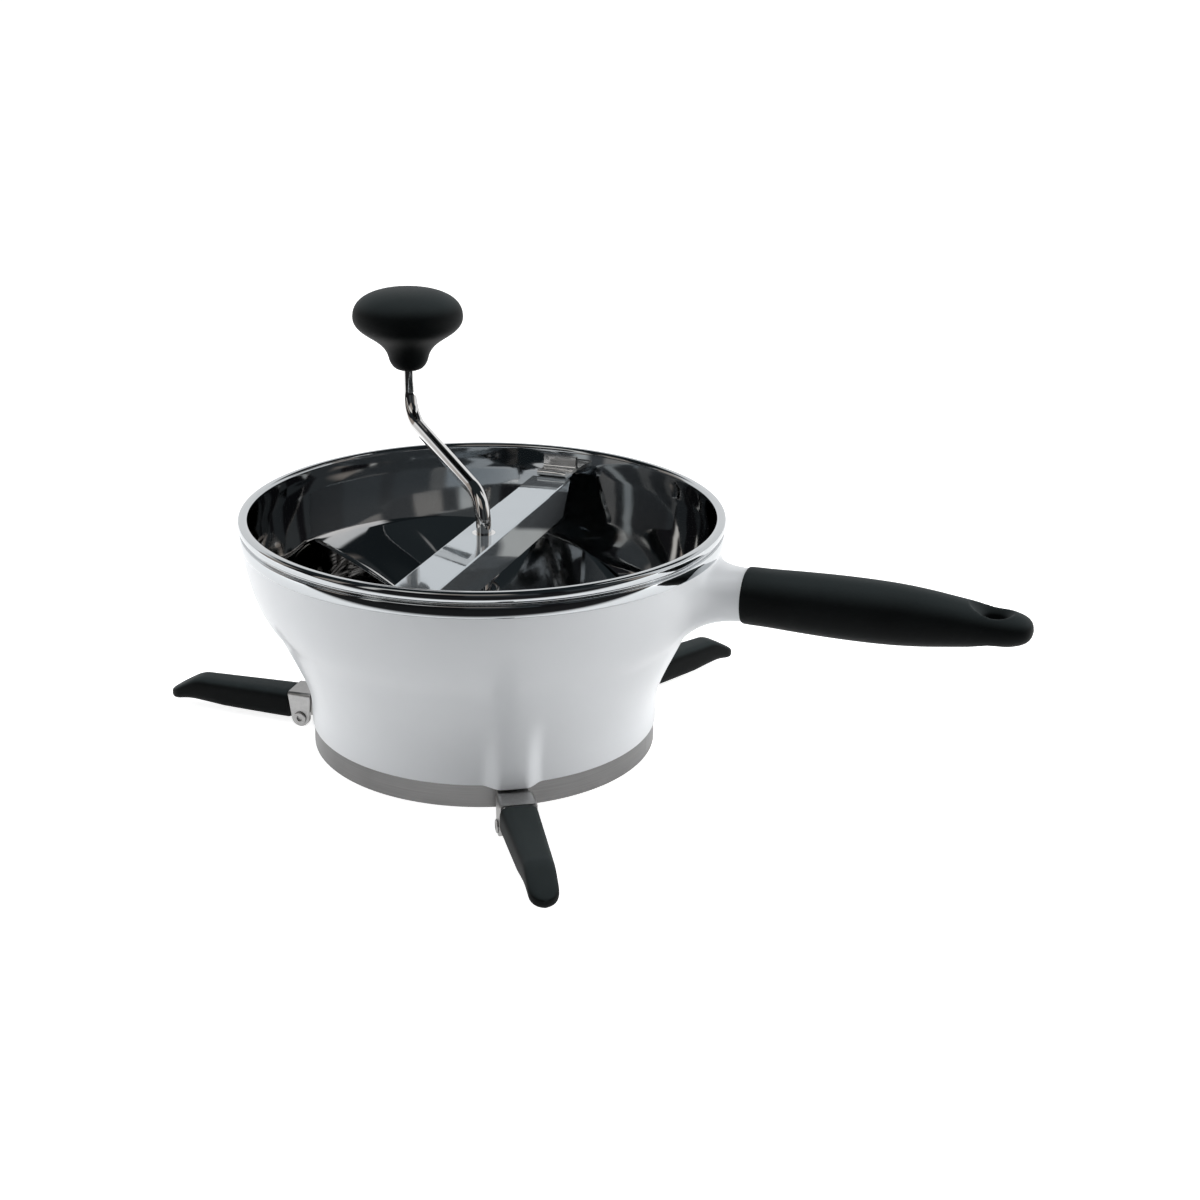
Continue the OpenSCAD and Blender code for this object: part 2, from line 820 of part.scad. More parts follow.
// Pin through the sleeve, the hub and the rod
module hub_pin() {
    color("silver")
        rotate([0, 0, crank_turn])
            translate([0, 0, pin_height])
                rotate([0, 90, 90])
                    cylinder(h = 2 * sleeve_radius + 1.6, r = pin_radius, center = true);
}

// Point of a wing: sweep runs from the scraping edge to the leading edge,
// out runs from the sleeve to the bowl's wall
function wing_point(sweep, out) = let (
    edge_low = disc_top + blade_lift,
    rise = 1 - pow(1 - sweep, 2.1),
    edge_height = mix(edge_low, wing_top, rise),
    root_height = mix(edge_low, sleeve_top - 10, smooth(sweep)),
    edge_radius = radius_at(wall_line(bowl_inset + bowl_wall), edge_height) - blade_gap,
    radius = mix(sleeve_radius - 0.7, edge_radius, out),
    height = mix(root_height, edge_height, mix(out, out * out, 0.65)),
    angle = wing_span * sweep + 9 * out * (1 - out) * sweep
) [radius * cos(angle), radius * sin(angle), height];

function wing_normal(sweep, out) = let (
    d = 0.01,
    s0 = max(0, sweep - d),
    s1 = min(1, sweep + d),
    o0 = max(0, out - d),
    o1 = min(1, out + d)
) unit(cross(wing_point(sweep, o1) - wing_point(sweep, o0), wing_point(s1, out) - wing_point(s0, out)));

// One wing of the blade, pressed from sheet
module blade_wing() {
    along = 22;
    across = 8;
    row = across + 1;
    sheet = (along + 1) * row;
    points = [
        for (face = [0, 1], i = [0:along], j = [0:across])
            wing_point(i / along, j / across)
                + face * blade_sheet * wing_normal(i / along, j / across)
    ];
    function cell(i, j) = i * row + j;
    polyhedron(
        points = points,
        faces = concat(
            [for (i = [0:along - 1], j = [0:across - 1])
                each let (a = cell(i, j), b = cell(i, j + 1), c = cell(i + 1, j), d = cell(i + 1, j + 1))
                    [[a, b, c], [b, d, c], [a + sheet, c + sheet, b + sheet], [b + sheet, c + sheet, d + sheet]]],
            [for (j = [0:across - 1])
                each let (a = cell(0, j), b = cell(0, j + 1), c = cell(along, j), d = cell(along, j + 1))
                    [[a, a + sheet, b], [b, a + sheet, b + sheet], [c, d, c + sheet], [d, d + sheet, c + sheet]]],
            [for (i = [0:along - 1])
                each let (a = cell(i, 0), b = cell(i + 1, 0), c = cell(i, across), d = cell(i + 1, across))
                    [[a, b, a + sheet], [b, b + sheet, a + sheet], [c, c + sheet, d], [d, c + sheet, d + sheet]]]
        ),
        convexity = 8
    );
}

// Two-winged blade welded to its sleeve
module blade() {
    color("gainsboro")
        rotate([0, 0, crank_turn])
            difference() {
                union() {
                    translate([0, 0, disc_top + blade_lift])
                        cylinder(h = sleeve_top - disc_top - blade_lift, r = sleeve_radius);
                    for (turn = [0, 180])
                        rotate([0, 0, wing_turn + turn - crank_turn])
                            blade_wing();
                }
                translate([0, 0, disc_bottom])
                    cylinder(h = sleeve_top, r = hub_radius);
                pin_bore();
            }
}

// Washer under the spring
module spring_washer() {
    color("silver")
        translate([0, 0, sleeve_top])
            difference() {
                cylinder(h = washer_sheet, r = sleeve_radius - 0.2);
                translate([0, 0, -past])
                    cylinder(h = washer_sheet + 2 * past, r = rod_radius);
            }
}

// Moves its children to the knob's stem
module at_knob() {
    rotate([0, 0, crank_turn])
        translate([crank_reach, 0, 0])
            children();
}

// Push-on cap that keeps the knob on the rod
module rod_end_cap() {
    color("silver")
        at_knob()
            translate([0, 0, rod_top - cap_sheet])
                difference() {
                    cylinder(h = cap_sheet + 0.8, r = rod_radius + 1.6);
                    translate([0, 0, -past])
                        cylinder(h = cap_sheet + past, r = rod_radius);
                }
}

// Outer line of the knob's core, where the soft grip is moulded on
function core_side() = [
    [rod_radius + 1.1, core_foot],
    [rod_radius + 2.4, core_foot + core_taper / 3],
    [core_radius, core_foot + core_taper],
    [core_radius, core_seat - 6],
    [core_radius + 5, core_seat - 4],
    [core_radius + 5, core_head],
    [0, core_head]
];

// Hard core of the knob, with the bore that turns on the rod
module knob_core() {
    cap_room = rod_radius + 2;
    color("dimgray")
        at_knob()
            rotate_extrude()
                polygon(concat(
                    [[rod_radius + running_fit, core_foot]],
                    core_side(),
                    [
                        [0, core_head - 1.6],
                        [cap_room, core_head - 1.6],
                        [cap_room, core_seat],
                        [rod_radius + running_fit, core_seat]
                    ]
                ));
}

// Soft mushroom-shaped grip moulded over the core
module knob_grip() {
    girth = knob_bottom + 0.66 * knob_height;
    waist = knob_bottom + 0.14 * knob_height;
    waist_radius = 0.36 * knob_radius;
    crown = bezier([0, knob_top], [0.62 * knob_radius, knob_top],
                   [knob_radius, knob_top - 0.11 * knob_height], [knob_radius, girth], 10);
    flank = bezier([knob_radius, girth], [knob_radius, girth - 0.23 * knob_height],
                   [0.44 * knob_radius, girth - 0.243 * knob_height], [waist_radius, waist], 10);
    bottom = bezier([waist_radius, waist], [waist_radius - 0.6, waist - 0.067 * knob_height],
                    [rod_radius + 3.4, knob_bottom], [rod_radius + 1.1, knob_bottom], 5);
    color([0.13, 0.14, 0.15])
        at_knob()
            rotate_extrude()
                polygon(concat(
                    crown,
                    [for (i = [1:len(flank) - 1]) flank[i]],
                    [for (i = [1:len(bottom) - 1]) bottom[i]],
                    core_side()
                ));
}

bowl();
outer_shell();
base_band();
grinding_disc();
handle_grip();
bar_clip(clip_left_turn);  // bar_clip_left
bar_clip(clip_right_turn);  // bar_clip_right
leg_lug(back_turn);  // leg_lug_back
leg_lug(left_turn);  // leg_lug_left
leg_lug(right_turn);  // leg_lug_right
leg_rivet(back_turn);  // leg_rivet_back
leg_rivet(left_turn);  // leg_rivet_left
leg_rivet(right_turn);  // leg_rivet_right
leg_bracket(back_turn);  // leg_bracket_back
leg_bracket(left_turn);  // leg_bracket_left
leg_bracket(right_turn);  // leg_bracket_right
leg_grip(back_turn);  // leg_grip_back
leg_grip(left_turn);  // leg_grip_left
leg_grip(right_turn);  // leg_grip_right
crossbar();
bar_bush();
bar_spring();
crank_rod();
blade_hub();
blade();
hub_pin();
spring_washer();
rod_end_cap();
knob_core();
knob_grip();
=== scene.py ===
import json
import math

import bmesh
import bpy
from mathutils import Matrix, Vector


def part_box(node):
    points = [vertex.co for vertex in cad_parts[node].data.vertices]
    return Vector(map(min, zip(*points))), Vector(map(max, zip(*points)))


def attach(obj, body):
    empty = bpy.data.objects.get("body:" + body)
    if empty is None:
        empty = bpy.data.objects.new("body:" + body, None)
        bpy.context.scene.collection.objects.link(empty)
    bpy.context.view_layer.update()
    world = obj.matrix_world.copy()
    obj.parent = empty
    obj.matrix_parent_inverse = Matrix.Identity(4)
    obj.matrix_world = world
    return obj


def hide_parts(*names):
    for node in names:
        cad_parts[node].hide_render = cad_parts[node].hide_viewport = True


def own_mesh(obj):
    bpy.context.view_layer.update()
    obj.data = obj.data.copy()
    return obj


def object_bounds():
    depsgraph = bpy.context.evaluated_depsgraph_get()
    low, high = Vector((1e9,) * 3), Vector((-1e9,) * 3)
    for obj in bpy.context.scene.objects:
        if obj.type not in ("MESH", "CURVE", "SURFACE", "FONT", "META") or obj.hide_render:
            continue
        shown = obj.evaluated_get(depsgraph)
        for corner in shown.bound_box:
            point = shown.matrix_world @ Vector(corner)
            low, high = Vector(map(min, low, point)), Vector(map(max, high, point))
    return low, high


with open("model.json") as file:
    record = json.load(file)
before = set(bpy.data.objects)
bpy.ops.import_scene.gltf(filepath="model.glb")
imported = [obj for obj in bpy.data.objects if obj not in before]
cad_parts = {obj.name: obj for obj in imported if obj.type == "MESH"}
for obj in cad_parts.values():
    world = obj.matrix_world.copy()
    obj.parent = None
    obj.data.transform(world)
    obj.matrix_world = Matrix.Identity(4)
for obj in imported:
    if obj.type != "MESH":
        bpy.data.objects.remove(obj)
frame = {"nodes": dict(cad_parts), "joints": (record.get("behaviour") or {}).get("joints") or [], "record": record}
CAD_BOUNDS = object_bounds()

bl_info = {
    "name": "Kitchen Mill Dresser",
    "version": (1, 0, 0),
    "blender": (4, 5, 0),
    "location": "View3D > Sidebar > Mill",
    "description": "Models and finishes a hand-cranked kitchen mill on its packed frame",
    "category": "Object",
}

MM = 0.001
# Two places closer than this are the same
NEAR = 1e-5
# Gap between the shell and the bowl
SHELL_GAP = 0.3 * MM

# Places that the frame gives
BOWL_LOW, BOWL_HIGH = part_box("bowl")
BAND_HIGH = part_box("base_band")[1]
GRIP_LOW, GRIP_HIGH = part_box("handle_grip")
BAR_LOW, BAR_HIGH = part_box("crossbar")
ROD_LOW, ROD_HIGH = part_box("crank_rod")
KNOB_LOW, KNOB_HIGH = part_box("knob_grip")
SPRING_LOW, SPRING_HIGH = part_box("bar_spring")
DISC_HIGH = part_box("grinding_disc")[1]
HUB_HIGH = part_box("blade_hub")[1]
CLIP_LOW, CLIP_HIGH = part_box("bar_clip_left")
SLOTS = {part["node"]: part["material_slot"] for part in frame["record"]["subparts"]}
JOINTS = {joint["name"]: joint for joint in frame["joints"]}
KNOB_AXIS = Vector(JOINTS["knob_spin"]["pos_m"])
LEG_TURNS = {"back": 182, "left": 60, "right": -60}
PIVOT = Vector(JOINTS["leg_left_fold"]["pos_m"])
# Direction that the camera looks in, seen from above, with the handle at 0
VIEW_TURN = math.radians(107.945)


class MillSizes(bpy.types.PropertyGroup):
    """Sizes of the mill's pieces that a user may change."""

    bead_radius: bpy.props.FloatProperty(
        name="Rim bead", description="Radius of the rolled bead", default=2.3 * MM, unit="LENGTH")
    bowl_sheet: bpy.props.FloatProperty(
        name="Bowl sheet", description="Thickness of the bowl's steel", default=0.9 * MM, unit="LENGTH")
    shell_wall: bpy.props.FloatProperty(
        name="Shell wall", description="Wall of the white moulding", default=2.4 * MM, unit="LENGTH")
    crease_radius: bpy.props.FloatProperty(
        name="Crease radius", description="Outer radius at the crease", default=94.8 * MM, unit="LENGTH")
    crease_height: bpy.props.FloatProperty(
        name="Crease height", description="Height of the crease", default=60 * MM, unit="LENGTH")
    flare_height: bpy.props.FloatProperty(
        name="Flare height", description="Height where the foot starts to flare", default=20 * MM,
        unit="LENGTH")
    boss_depth: bpy.props.FloatProperty(
        name="Boss depth", description="How far a leg boss stands out", default=5.6 * MM, unit="LENGTH")
    leg_sheet: bpy.props.FloatProperty(
        name="Bracket sheet", description="Thickness of a leg's bracket", default=1.2 * MM, unit="LENGTH")
    wire_radius: bpy.props.FloatProperty(
        name="Spring wire", description="Radius of the spring's wire", default=0.75 * MM, unit="LENGTH")
    hang_radius: bpy.props.FloatProperty(
        name="Hanging hole", description="Radius of the hole in the grip", default=4.6 * MM, unit="LENGTH")
    rod_radius: bpy.props.FloatProperty(
        name="Rod radius", description="Radius of the crank rod", default=3.5 * MM, unit="LENGTH")
    rod_bend: bpy.props.FloatProperty(
        name="Rod bend", description="Radius of the rod's bends", default=15.5 * MM, unit="LENGTH")
    blade_sheet: bpy.props.FloatProperty(
        name="Blade sheet", description="Thickness of the blade", default=1.0 * MM, unit="LENGTH")
    bar_sheet: bpy.props.FloatProperty(
        name="Bar sheet", description="Thickness of the crossbar", default=1.5 * MM, unit="LENGTH")


class MillColours(bpy.types.PropertyGroup):
    """Colours of the mill's finishes."""

    plastic: bpy.props.FloatVectorProperty(
        name="White plastic", description="Colour of the moulded shell", subtype="COLOR",
        default=(0.82, 0.84, 0.86), min=0, max=1)
    rubber: bpy.props.FloatVectorProperty(
        name="Soft grips", description="Colour of the rubber", subtype="COLOR",
        default=(0.0042, 0.0052, 0.0054), min=0, max=1)
    steel: bpy.props.FloatVectorProperty(
        name="Polished steel", description="Tint of the mirror steel", subtype="COLOR",
        default=(0.70, 0.695, 0.69), min=0, max=1)
    satin: bpy.props.FloatVectorProperty(
        name="Brushed steel", description="Tint of the brushed steel", subtype="COLOR",
        default=(0.56, 0.555, 0.55), min=0, max=1)


def sizes():
    """The sizes that the user has set."""
    return bpy.context.scene.mill_sizes


def colours():
    """The colours that the user has set."""
    return bpy.context.scene.mill_colours


# ---- shader maths ----


class Signal:
    """One output of a shader node; arithmetic on it adds Math nodes."""

    def __init__(self, finish, socket):
        self.finish = finish
        self.socket = socket

    def math(self, operation, *values):
        """A Math node's output."""
        return self.finish.node("ShaderNodeMath", {"operation": operation}, *values)

    def __add__(self, other):
        return self.math("ADD", self, other)

    __radd__ = __add__

    def __sub__(self, other):
        return self.math("SUBTRACT", self, other)

    def __rsub__(self, other):
        return self.math("SUBTRACT", other, self)

    def __mul__(self, other):
        return self.math("MULTIPLY", self, other)

    __rmul__ = __mul__

    def __truediv__(self, other):
        return self.math("DIVIDE", self, other)

    def __rtruediv__(self, other):
        return self.math("DIVIDE", other, self)

    def ease(self, start, end):
        """0 below start, 1 above end and a smooth step between them."""
        return self.finish.node(
            "ShaderNodeMapRange", {"interpolation_type": "SMOOTHSTEP"}, self, start, end, 0.0, 1.0)


class Finish:
    """A node tree under construction."""

    def __init__(self, tree):
        self.tree = tree
        self.bumps = None

    def node(self, kind, settings=None, *values, out=0, **named):
        """Adds a node: its settings first, then values or links for its sockets."""
        made = self.tree.nodes.new(kind)
        for key, value in (settings or {}).items():
            if key == "stops":
                ramp = made.color_ramp.elements
                ramp.remove(ramp[0])
                ramp[0].position, ramp[0].color = value[-1]
                for place, colour in value[:-1]:
                    ramp.new(place).color = colour
            else:
                setattr(made, key, value)
        sockets = [s for s in made.inputs if s.enabled]
        pairs = list(zip(sockets, values)) + [(made.inputs[name], v) for name, v in named.items()]
        for socket, value in pairs:
            self.feed(socket, value)
        return Signal(self, [s for s in made.outputs if s.enabled][out])

    def feed(self, socket, value):
        """Links a signal to a socket, or sets the socket to a number or colour."""
        if isinstance(value, Signal):
            self.tree.links.new(value.socket, socket)
        elif hasattr(socket.default_value, "__len__") and not hasattr(value, "__len__"):
            socket.default_value = [value] * len(socket.default_value)
        elif hasattr(value, "__len__") and len(value) == 3 and len(socket.default_value) == 4:
            socket.default_value = (*value, 1.0)
        else:
            socket.default_value = value

    def place(self):
        """Object coordinates, in metres."""
        return self.node("ShaderNodeTexCoord", out=3)

    def stretched(self, scale):
        """Object coordinates, scaled more along some axes than along others."""
        return self.node("ShaderNodeMapping", None, Vector=self.place(), Scale=scale)

    def noise(self, scale, detail=2.0, rough=0.5, place=None):
        """Cloudy values round 0.5."""
        return self.node(
            "ShaderNodeTexNoise", None, Vector=place or self.place(), Scale=scale, Detail=detail,
            Roughness=rough)

    def mixed(self, share, first, second):
        """The first colour where share is 0 and the second where it is 1."""
        return self.node("ShaderNodeMix", {"data_type": "RGBA"}, share, first, second)

    def parts(self, place):
        """The three coordinates of a place or a direction."""
        split = self.node("ShaderNodeSeparateXYZ", None, place).socket.node
        return [Signal(self, socket) for socket in split.outputs]

    def ray(self, kind):
        """1 where the ray is of a kind, such as "Camera"."""
        path = self.tree.nodes.new("ShaderNodeLightPath")
        return Signal(self, path.outputs["Is " + kind + " Ray"])

    def bump(self, height, strength, distance):
        """Stacks one more layer of relief under the shader."""
        named = dict(Height=height, Strength=strength, Distance=distance)
        if self.bumps:
            named["Normal"] = self.bumps
        self.bumps = self.node("ShaderNodeBump", None, **named)
        return self.bumps


class Paint(Finish):
    """A material with one Principled shader."""

    def __init__(self, name, **constants):
        self.material = bpy.data.materials.new(name)
        self.material.use_nodes = True
        super().__init__(self.material.node_tree)
        self.shader = self.tree.nodes["Principled BSDF"]
        for socket, value in constants.items():
            self.set(socket.replace("_", " "), value)

    def set(self, socket, value):
        self.feed(self.shader.inputs[socket], value)

    def done(self):
        if self.bumps:
            self.set("Normal", self.bumps)
        return self.material


def tinted(colour, share):
    """A colour made darker or lighter."""
    return tuple(min(1.0, c * share) for c in colour)


def shell_plastic():
    """Glossy white moulding with a faint orange-peel skin and handling haze."""
    base = tuple(colours().plastic)
    paint = Paint("shell_plastic", Coat_Weight=0.25, Coat_Roughness=0.12, IOR=1.49)
    cloud = paint.noise(14.0, 3.0)
    paint.set("Base Color", paint.mixed(cloud.ease(0.35, 0.65), tinted(base, 0.985), tinted(base, 1.01)))
    paint.set("Roughness", 0.3 + 0.07 * paint.noise(46.0, 4.0))
    paint.bump(paint.noise(240.0, 2.0), 0.05, 0.0004)
    paint.bump(paint.noise(3600.0, 1.0), 0.03, 0.0001)
    return paint.done()


def soft_rubber():
    """Soft matte elastomer: fine grain, rubbed patches and a painted top light that lightens the base colour on
    up-facing faces.
    """
    base = tuple(colours().rubber)
    paint = Paint("soft_rubber", Specular_IOR_Level=0.06, Sheen_Weight=0.02)
    cloud = paint.noise(38.0, 4.0, 0.6)
    grain = paint.noise(2600.0, 2.0)
    rubbed = paint.mixed(cloud.ease(0.3, 0.7), tinted(base, 0.86), tinted(base, 1.22))
    upward = paint.parts(paint.node("ShaderNodeTexCoord", out=1))[2]
    # Painted top light: on faces whose normal points up, the base colour is lifted up to 6.5 times. This stands in
    # for light from above, and the cloud makes it uneven.
    painted_top_light = upward.ease(0.3, 0.98) * (0.75 + 0.5 * cloud)
    paint.set("Base Color", paint.mixed(painted_top_light, rubbed, tinted(base, 6.5)))
    paint.set("Roughness", 0.46 + 0.1 * cloud + 0.06 * grain)
    paint.bump(grain, 0.16, 0.00012)
    paint.bump(paint.noise(90.0, 2.0), 0.06, 0.0006)
    return paint.done()


def polished_steel(name):
    """Mirror steel that pressing has left gently uneven, with wiped haze and hairlines."""
    base = tuple(colours().steel)
    paint = Paint(name, Metallic=1.0)
    haze = paint.noise(26.0, 5.0, 0.6)
    wiped = paint.noise(1.0, 3.0, 0.6, place=paint.stretched((60.0, 60.0, 900.0)))
    x, y = paint.parts(paint.place())[:2]
    inside = 1.0 - (x * x + y * y).ease((BOWL_HIGH.x - 8 * MM) ** 2, (BOWL_HIGH.x - 5 * MM) ** 2)
    mirror = paint.mixed(haze.ease(0.35, 0.7), tinted(base, 0.94), tinted(base, 1.03))
    rim_tint = (0.53, 0.55, 0.565)
    paint.set("Base Color", paint.mixed(inside, rim_tint, mirror))
    paint.set("Roughness", 0.03 + 0.04 * haze.ease(0.45, 0.8) + 0.02 * wiped)
    paint.bump(paint.noise(16.0, 1.0, 0.4) * inside, 0.22, 0.0022)
    paint.bump(wiped, 0.04, 0.00002)
    return paint.done()


def drawn_steel(name, base, metallic=1.0):
    """Polished bar and rod: mirror steel with fine lengthwise drawing marks."""
    paint = Paint(name, Metallic=metallic)
    haze = paint.noise(40.0, 4.0, 0.6)
    paint.set("Base Color", paint.mixed(haze, tinted(base, 0.95), tinted(base, 1.04)))
    paint.set("Roughness", 0.035 + 0.05 * haze.ease(0.4, 0.8))
    paint.bump(paint.noise(300.0, 3.0), 0.04, 0.0001)
    return paint.done()


def brushed_steel(name, base, scale, roughness):
    """Brushed sheet: fine lines, stretched along the sheet, and soft blotches."""
    paint = Paint(name, Metallic=1.0)
    lines = paint.noise(1.0, 4.0, 0.7, place=paint.stretched(scale))
    broad = paint.noise(34.0, 3.0)
    shade = 0.55 * lines + 0.45 * broad
    paint.set("Base Color", paint.mixed(shade.ease(0.3, 0.7), tinted(base, 0.84), tinted(base, 1.12)))
    paint.set("Roughness", roughness + 0.14 * lines)
    paint.bump(lines, 0.22, 0.00008)
    return paint.done()


def satin_steel(name, base):
    """Tumbled small pieces: dull enough to catch the lamps, with a fine grain."""
    paint = Paint(name, Metallic=0.85, Specular_IOR_Level=0.6)
    cloud = paint.noise(120.0, 3.0)
    grain = paint.noise(1800.0, 2.0)
    paint.set("Base Color", paint.mixed(cloud.ease(0.3, 0.7), tinted(base, 0.85), tinted(base, 1.1)))
    paint.set("Roughness", 0.08 + 0.1 * cloud + 0.03 * grain)
    paint.bump(cloud, 0.3, 0.0006)
    paint.bump(grain, 0.06, 0.00006)
    return paint.done()


def core_plastic():
    """Hard moulded core of the knob."""
    paint = Paint("knob_core_plastic", Specular_IOR_Level=0.4)
    grain = paint.noise(900.0, 3.0)
    paint.set("Base Color", paint.mixed(grain, (0.03, 0.031, 0.033), (0.045, 0.046, 0.048)))
    paint.set("Roughness", 0.42 + 0.12 * grain)
    paint.bump(grain, 0.1, 0.0001)
    return paint.done()


# ---- modelling ----


def start_piece():
    """Leaves edit mode and deselects everything, before a primitive is added."""
    if bpy.context.object and bpy.context.object.mode == "EDIT":
        bpy.ops.object.mode_set(mode="OBJECT")
    bpy.ops.object.select_all(action="DESELECT")


def extrude(move):
    """Extrudes what is selected along a move."""
    bpy.ops.mesh.extrude_region_move(TRANSFORM_OT_translate={"value": move})


def pick(piece, kind, test):
    """Selects the edges or faces that pass a test, on a piece in edit mode."""
    bpy.ops.mesh.select_all(action="DESELECT")
    mesh = bmesh.from_edit_mesh(piece.data)
    for item in getattr(mesh, kind):
        if test(item):
            item.select_set(True)
    bmesh.update_edit_mesh(piece.data)


def draw_line(points):
    """Extrudes one vertex from point to point. The new mesh stays in edit mode."""
    start_piece()
    bpy.ops.mesh.primitive_plane_add(size=MM)
    bpy.ops.object.mode_set(mode="EDIT")
    bpy.ops.mesh.select_mode(type="VERT")
    bpy.ops.mesh.merge(type="CENTER")
    bpy.ops.transform.translate(value=points[0])
    for here, there in zip(points, points[1:]):
        extrude(there - here)
    return bpy.context.object


def clean(threshold=1e-6):
    """Merges doubles and turns every face outwards."""
    bpy.ops.mesh.select_all(action="SELECT")
    bpy.ops.mesh.remove_doubles(threshold=threshold)
    bpy.ops.mesh.normals_make_consistent(inside=False)
    bpy.ops.object.mode_set(mode="OBJECT")


def spin_profile(profile, steps, centre=(0.0, 0.0), angle=360.0):
    """Turns a closed outline of (radius, height) points round an upright axis."""
    x, y = centre
    piece = draw_line([Vector((x + r, y, z)) for r, z in profile])
    bpy.ops.mesh.select_all(action="SELECT")
    bpy.ops.mesh.spin(steps=steps, angle=math.radians(angle), center=(x, y, 0.0), axis=(0.0, 0.0, 1.0))
    clean()
    return piece


def smooth(share):
    """A share that leaves 0 and reaches 1 without a corner."""
    return share * share * (3 - 2 * share)


def bezier(a, b, c, d, steps):
    """Points on a curve from a to d that leaves towards b and arrives from c."""
    points = []
    for i in range(steps + 1):
        t = i / steps
        s = 1 - t
        points.append(s**3 * a + 3 * s * s * t * b + 3 * s * t * t * c + t**3 * d)
    return points


def arc(cx, cz, radius, first, last, steps):
    """Points on an arc from angle first to angle last, in degrees."""
    turns = [math.radians(first + (last - first) * i / steps) for i in range(steps + 1)]
    return [Vector((cx + radius * math.cos(t), cz + radius * math.sin(t))) for t in turns]


def softened(line, rounds):
    """Rounds the corners of a line by averaging, leaving its ends."""
    for _ in range(rounds):
        inner = [(a + 2 * b + c) / 4 for a, b, c in zip(line, line[1:], line[2:])]
        line = [line[0], *inner, line[-1]]
    return line


def add_modifier(piece, kind, **settings):
    """Adds a modifier and applies it."""
    modifier = piece.modifiers.new(kind.title(), kind)
    for key, value in settings.items():
        setattr(modifier, key, value)
    bpy.context.view_layer.objects.active = piece
    bpy.ops.object.modifier_apply(modifier=modifier.name)


def flatten(piece, area):
    """Shades the large flat faces flat, so that the bevels don't bend their reflections."""
    for face in piece.data.polygons:
        if face.area > area:
            face.use_smooth = False


def choose(piece):
    """Leaves a piece as the only one selected."""
    start_piece()
    piece.select_set(True)
    bpy.context.view_layer.objects.active = piece


def settle(piece, name, finish, body, node, crease=40.0):
    """Names and shades a piece, and gives it its finish, its body and the CAD node it stands for."""
    choose(piece)
    bpy.ops.object.shade_smooth_by_angle(angle=math.radians(crease))
    piece.name = name
    piece.data.name = name
    piece.data.materials.clear()
    piece.data.materials.append(bpy.data.materials[finish])
    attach(piece, body)
    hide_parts(node)
    piece.select_set(False)


def put(piece, turn=(0.0, 0.0, 0.0), at=(0.0, 0.0, 0.0)):
    """Turns and moves a piece and keeps its object at the origin."""
    choose(piece)
    piece.rotation_euler = turn
    piece.location = at
    bpy.ops.object.transform_apply(location=True, rotation=True)


def spread(turns, *models):
    """Turns copies of the models round the crank's axis for each name, each with its own mesh."""
    for name, turn in turns.items():
        copies = []
        for model in models:
            piece = model.copy()
            piece.data = model.data.copy()
            bpy.context.scene.collection.objects.link(piece)
            put(piece, (0, 0, math.radians(turn)))
            copies.append(piece)
        yield name, *copies
    for model in models:
        bpy.data.objects.remove(model)


def radius_at(line, height):
    """Radius of a side line at a height, upright past its ends."""
    for low, high in zip(line, line[1:]):
        if low.y <= height <= high.y:
            return low.lerp(high, (height - low.y) / (high.y - low.y)).x
    return line[0].x if height < line[0].y else line[-1].x


def wall_line(inset):
    """Side line of shell and bowl, from the foot to the brow, moved in by inset."""
    s = sizes()
    foot = Vector((BAND_HIGH.x + 0.7 * MM, s.flare_height))
    crease = Vector((s.crease_radius, s.crease_height))
    brow = Vector((BOWL_HIGH.x - 1.0 * MM, BOWL_HIGH.z - 11.3 * MM))
    flare = bezier(foot, foot + Vector((0.3, 13)) * MM, crease - Vector((6.4, 15.5)) * MM, crease, 22)
    dome = bezier(crease, crease + Vector((8.2, 9)) * MM, brow - Vector((2.2, 18)) * MM, brow, 24)
    line = softened(flare + dome[1:], 5)
    return [Vector((p.x - inset, p.y)) for p in line]


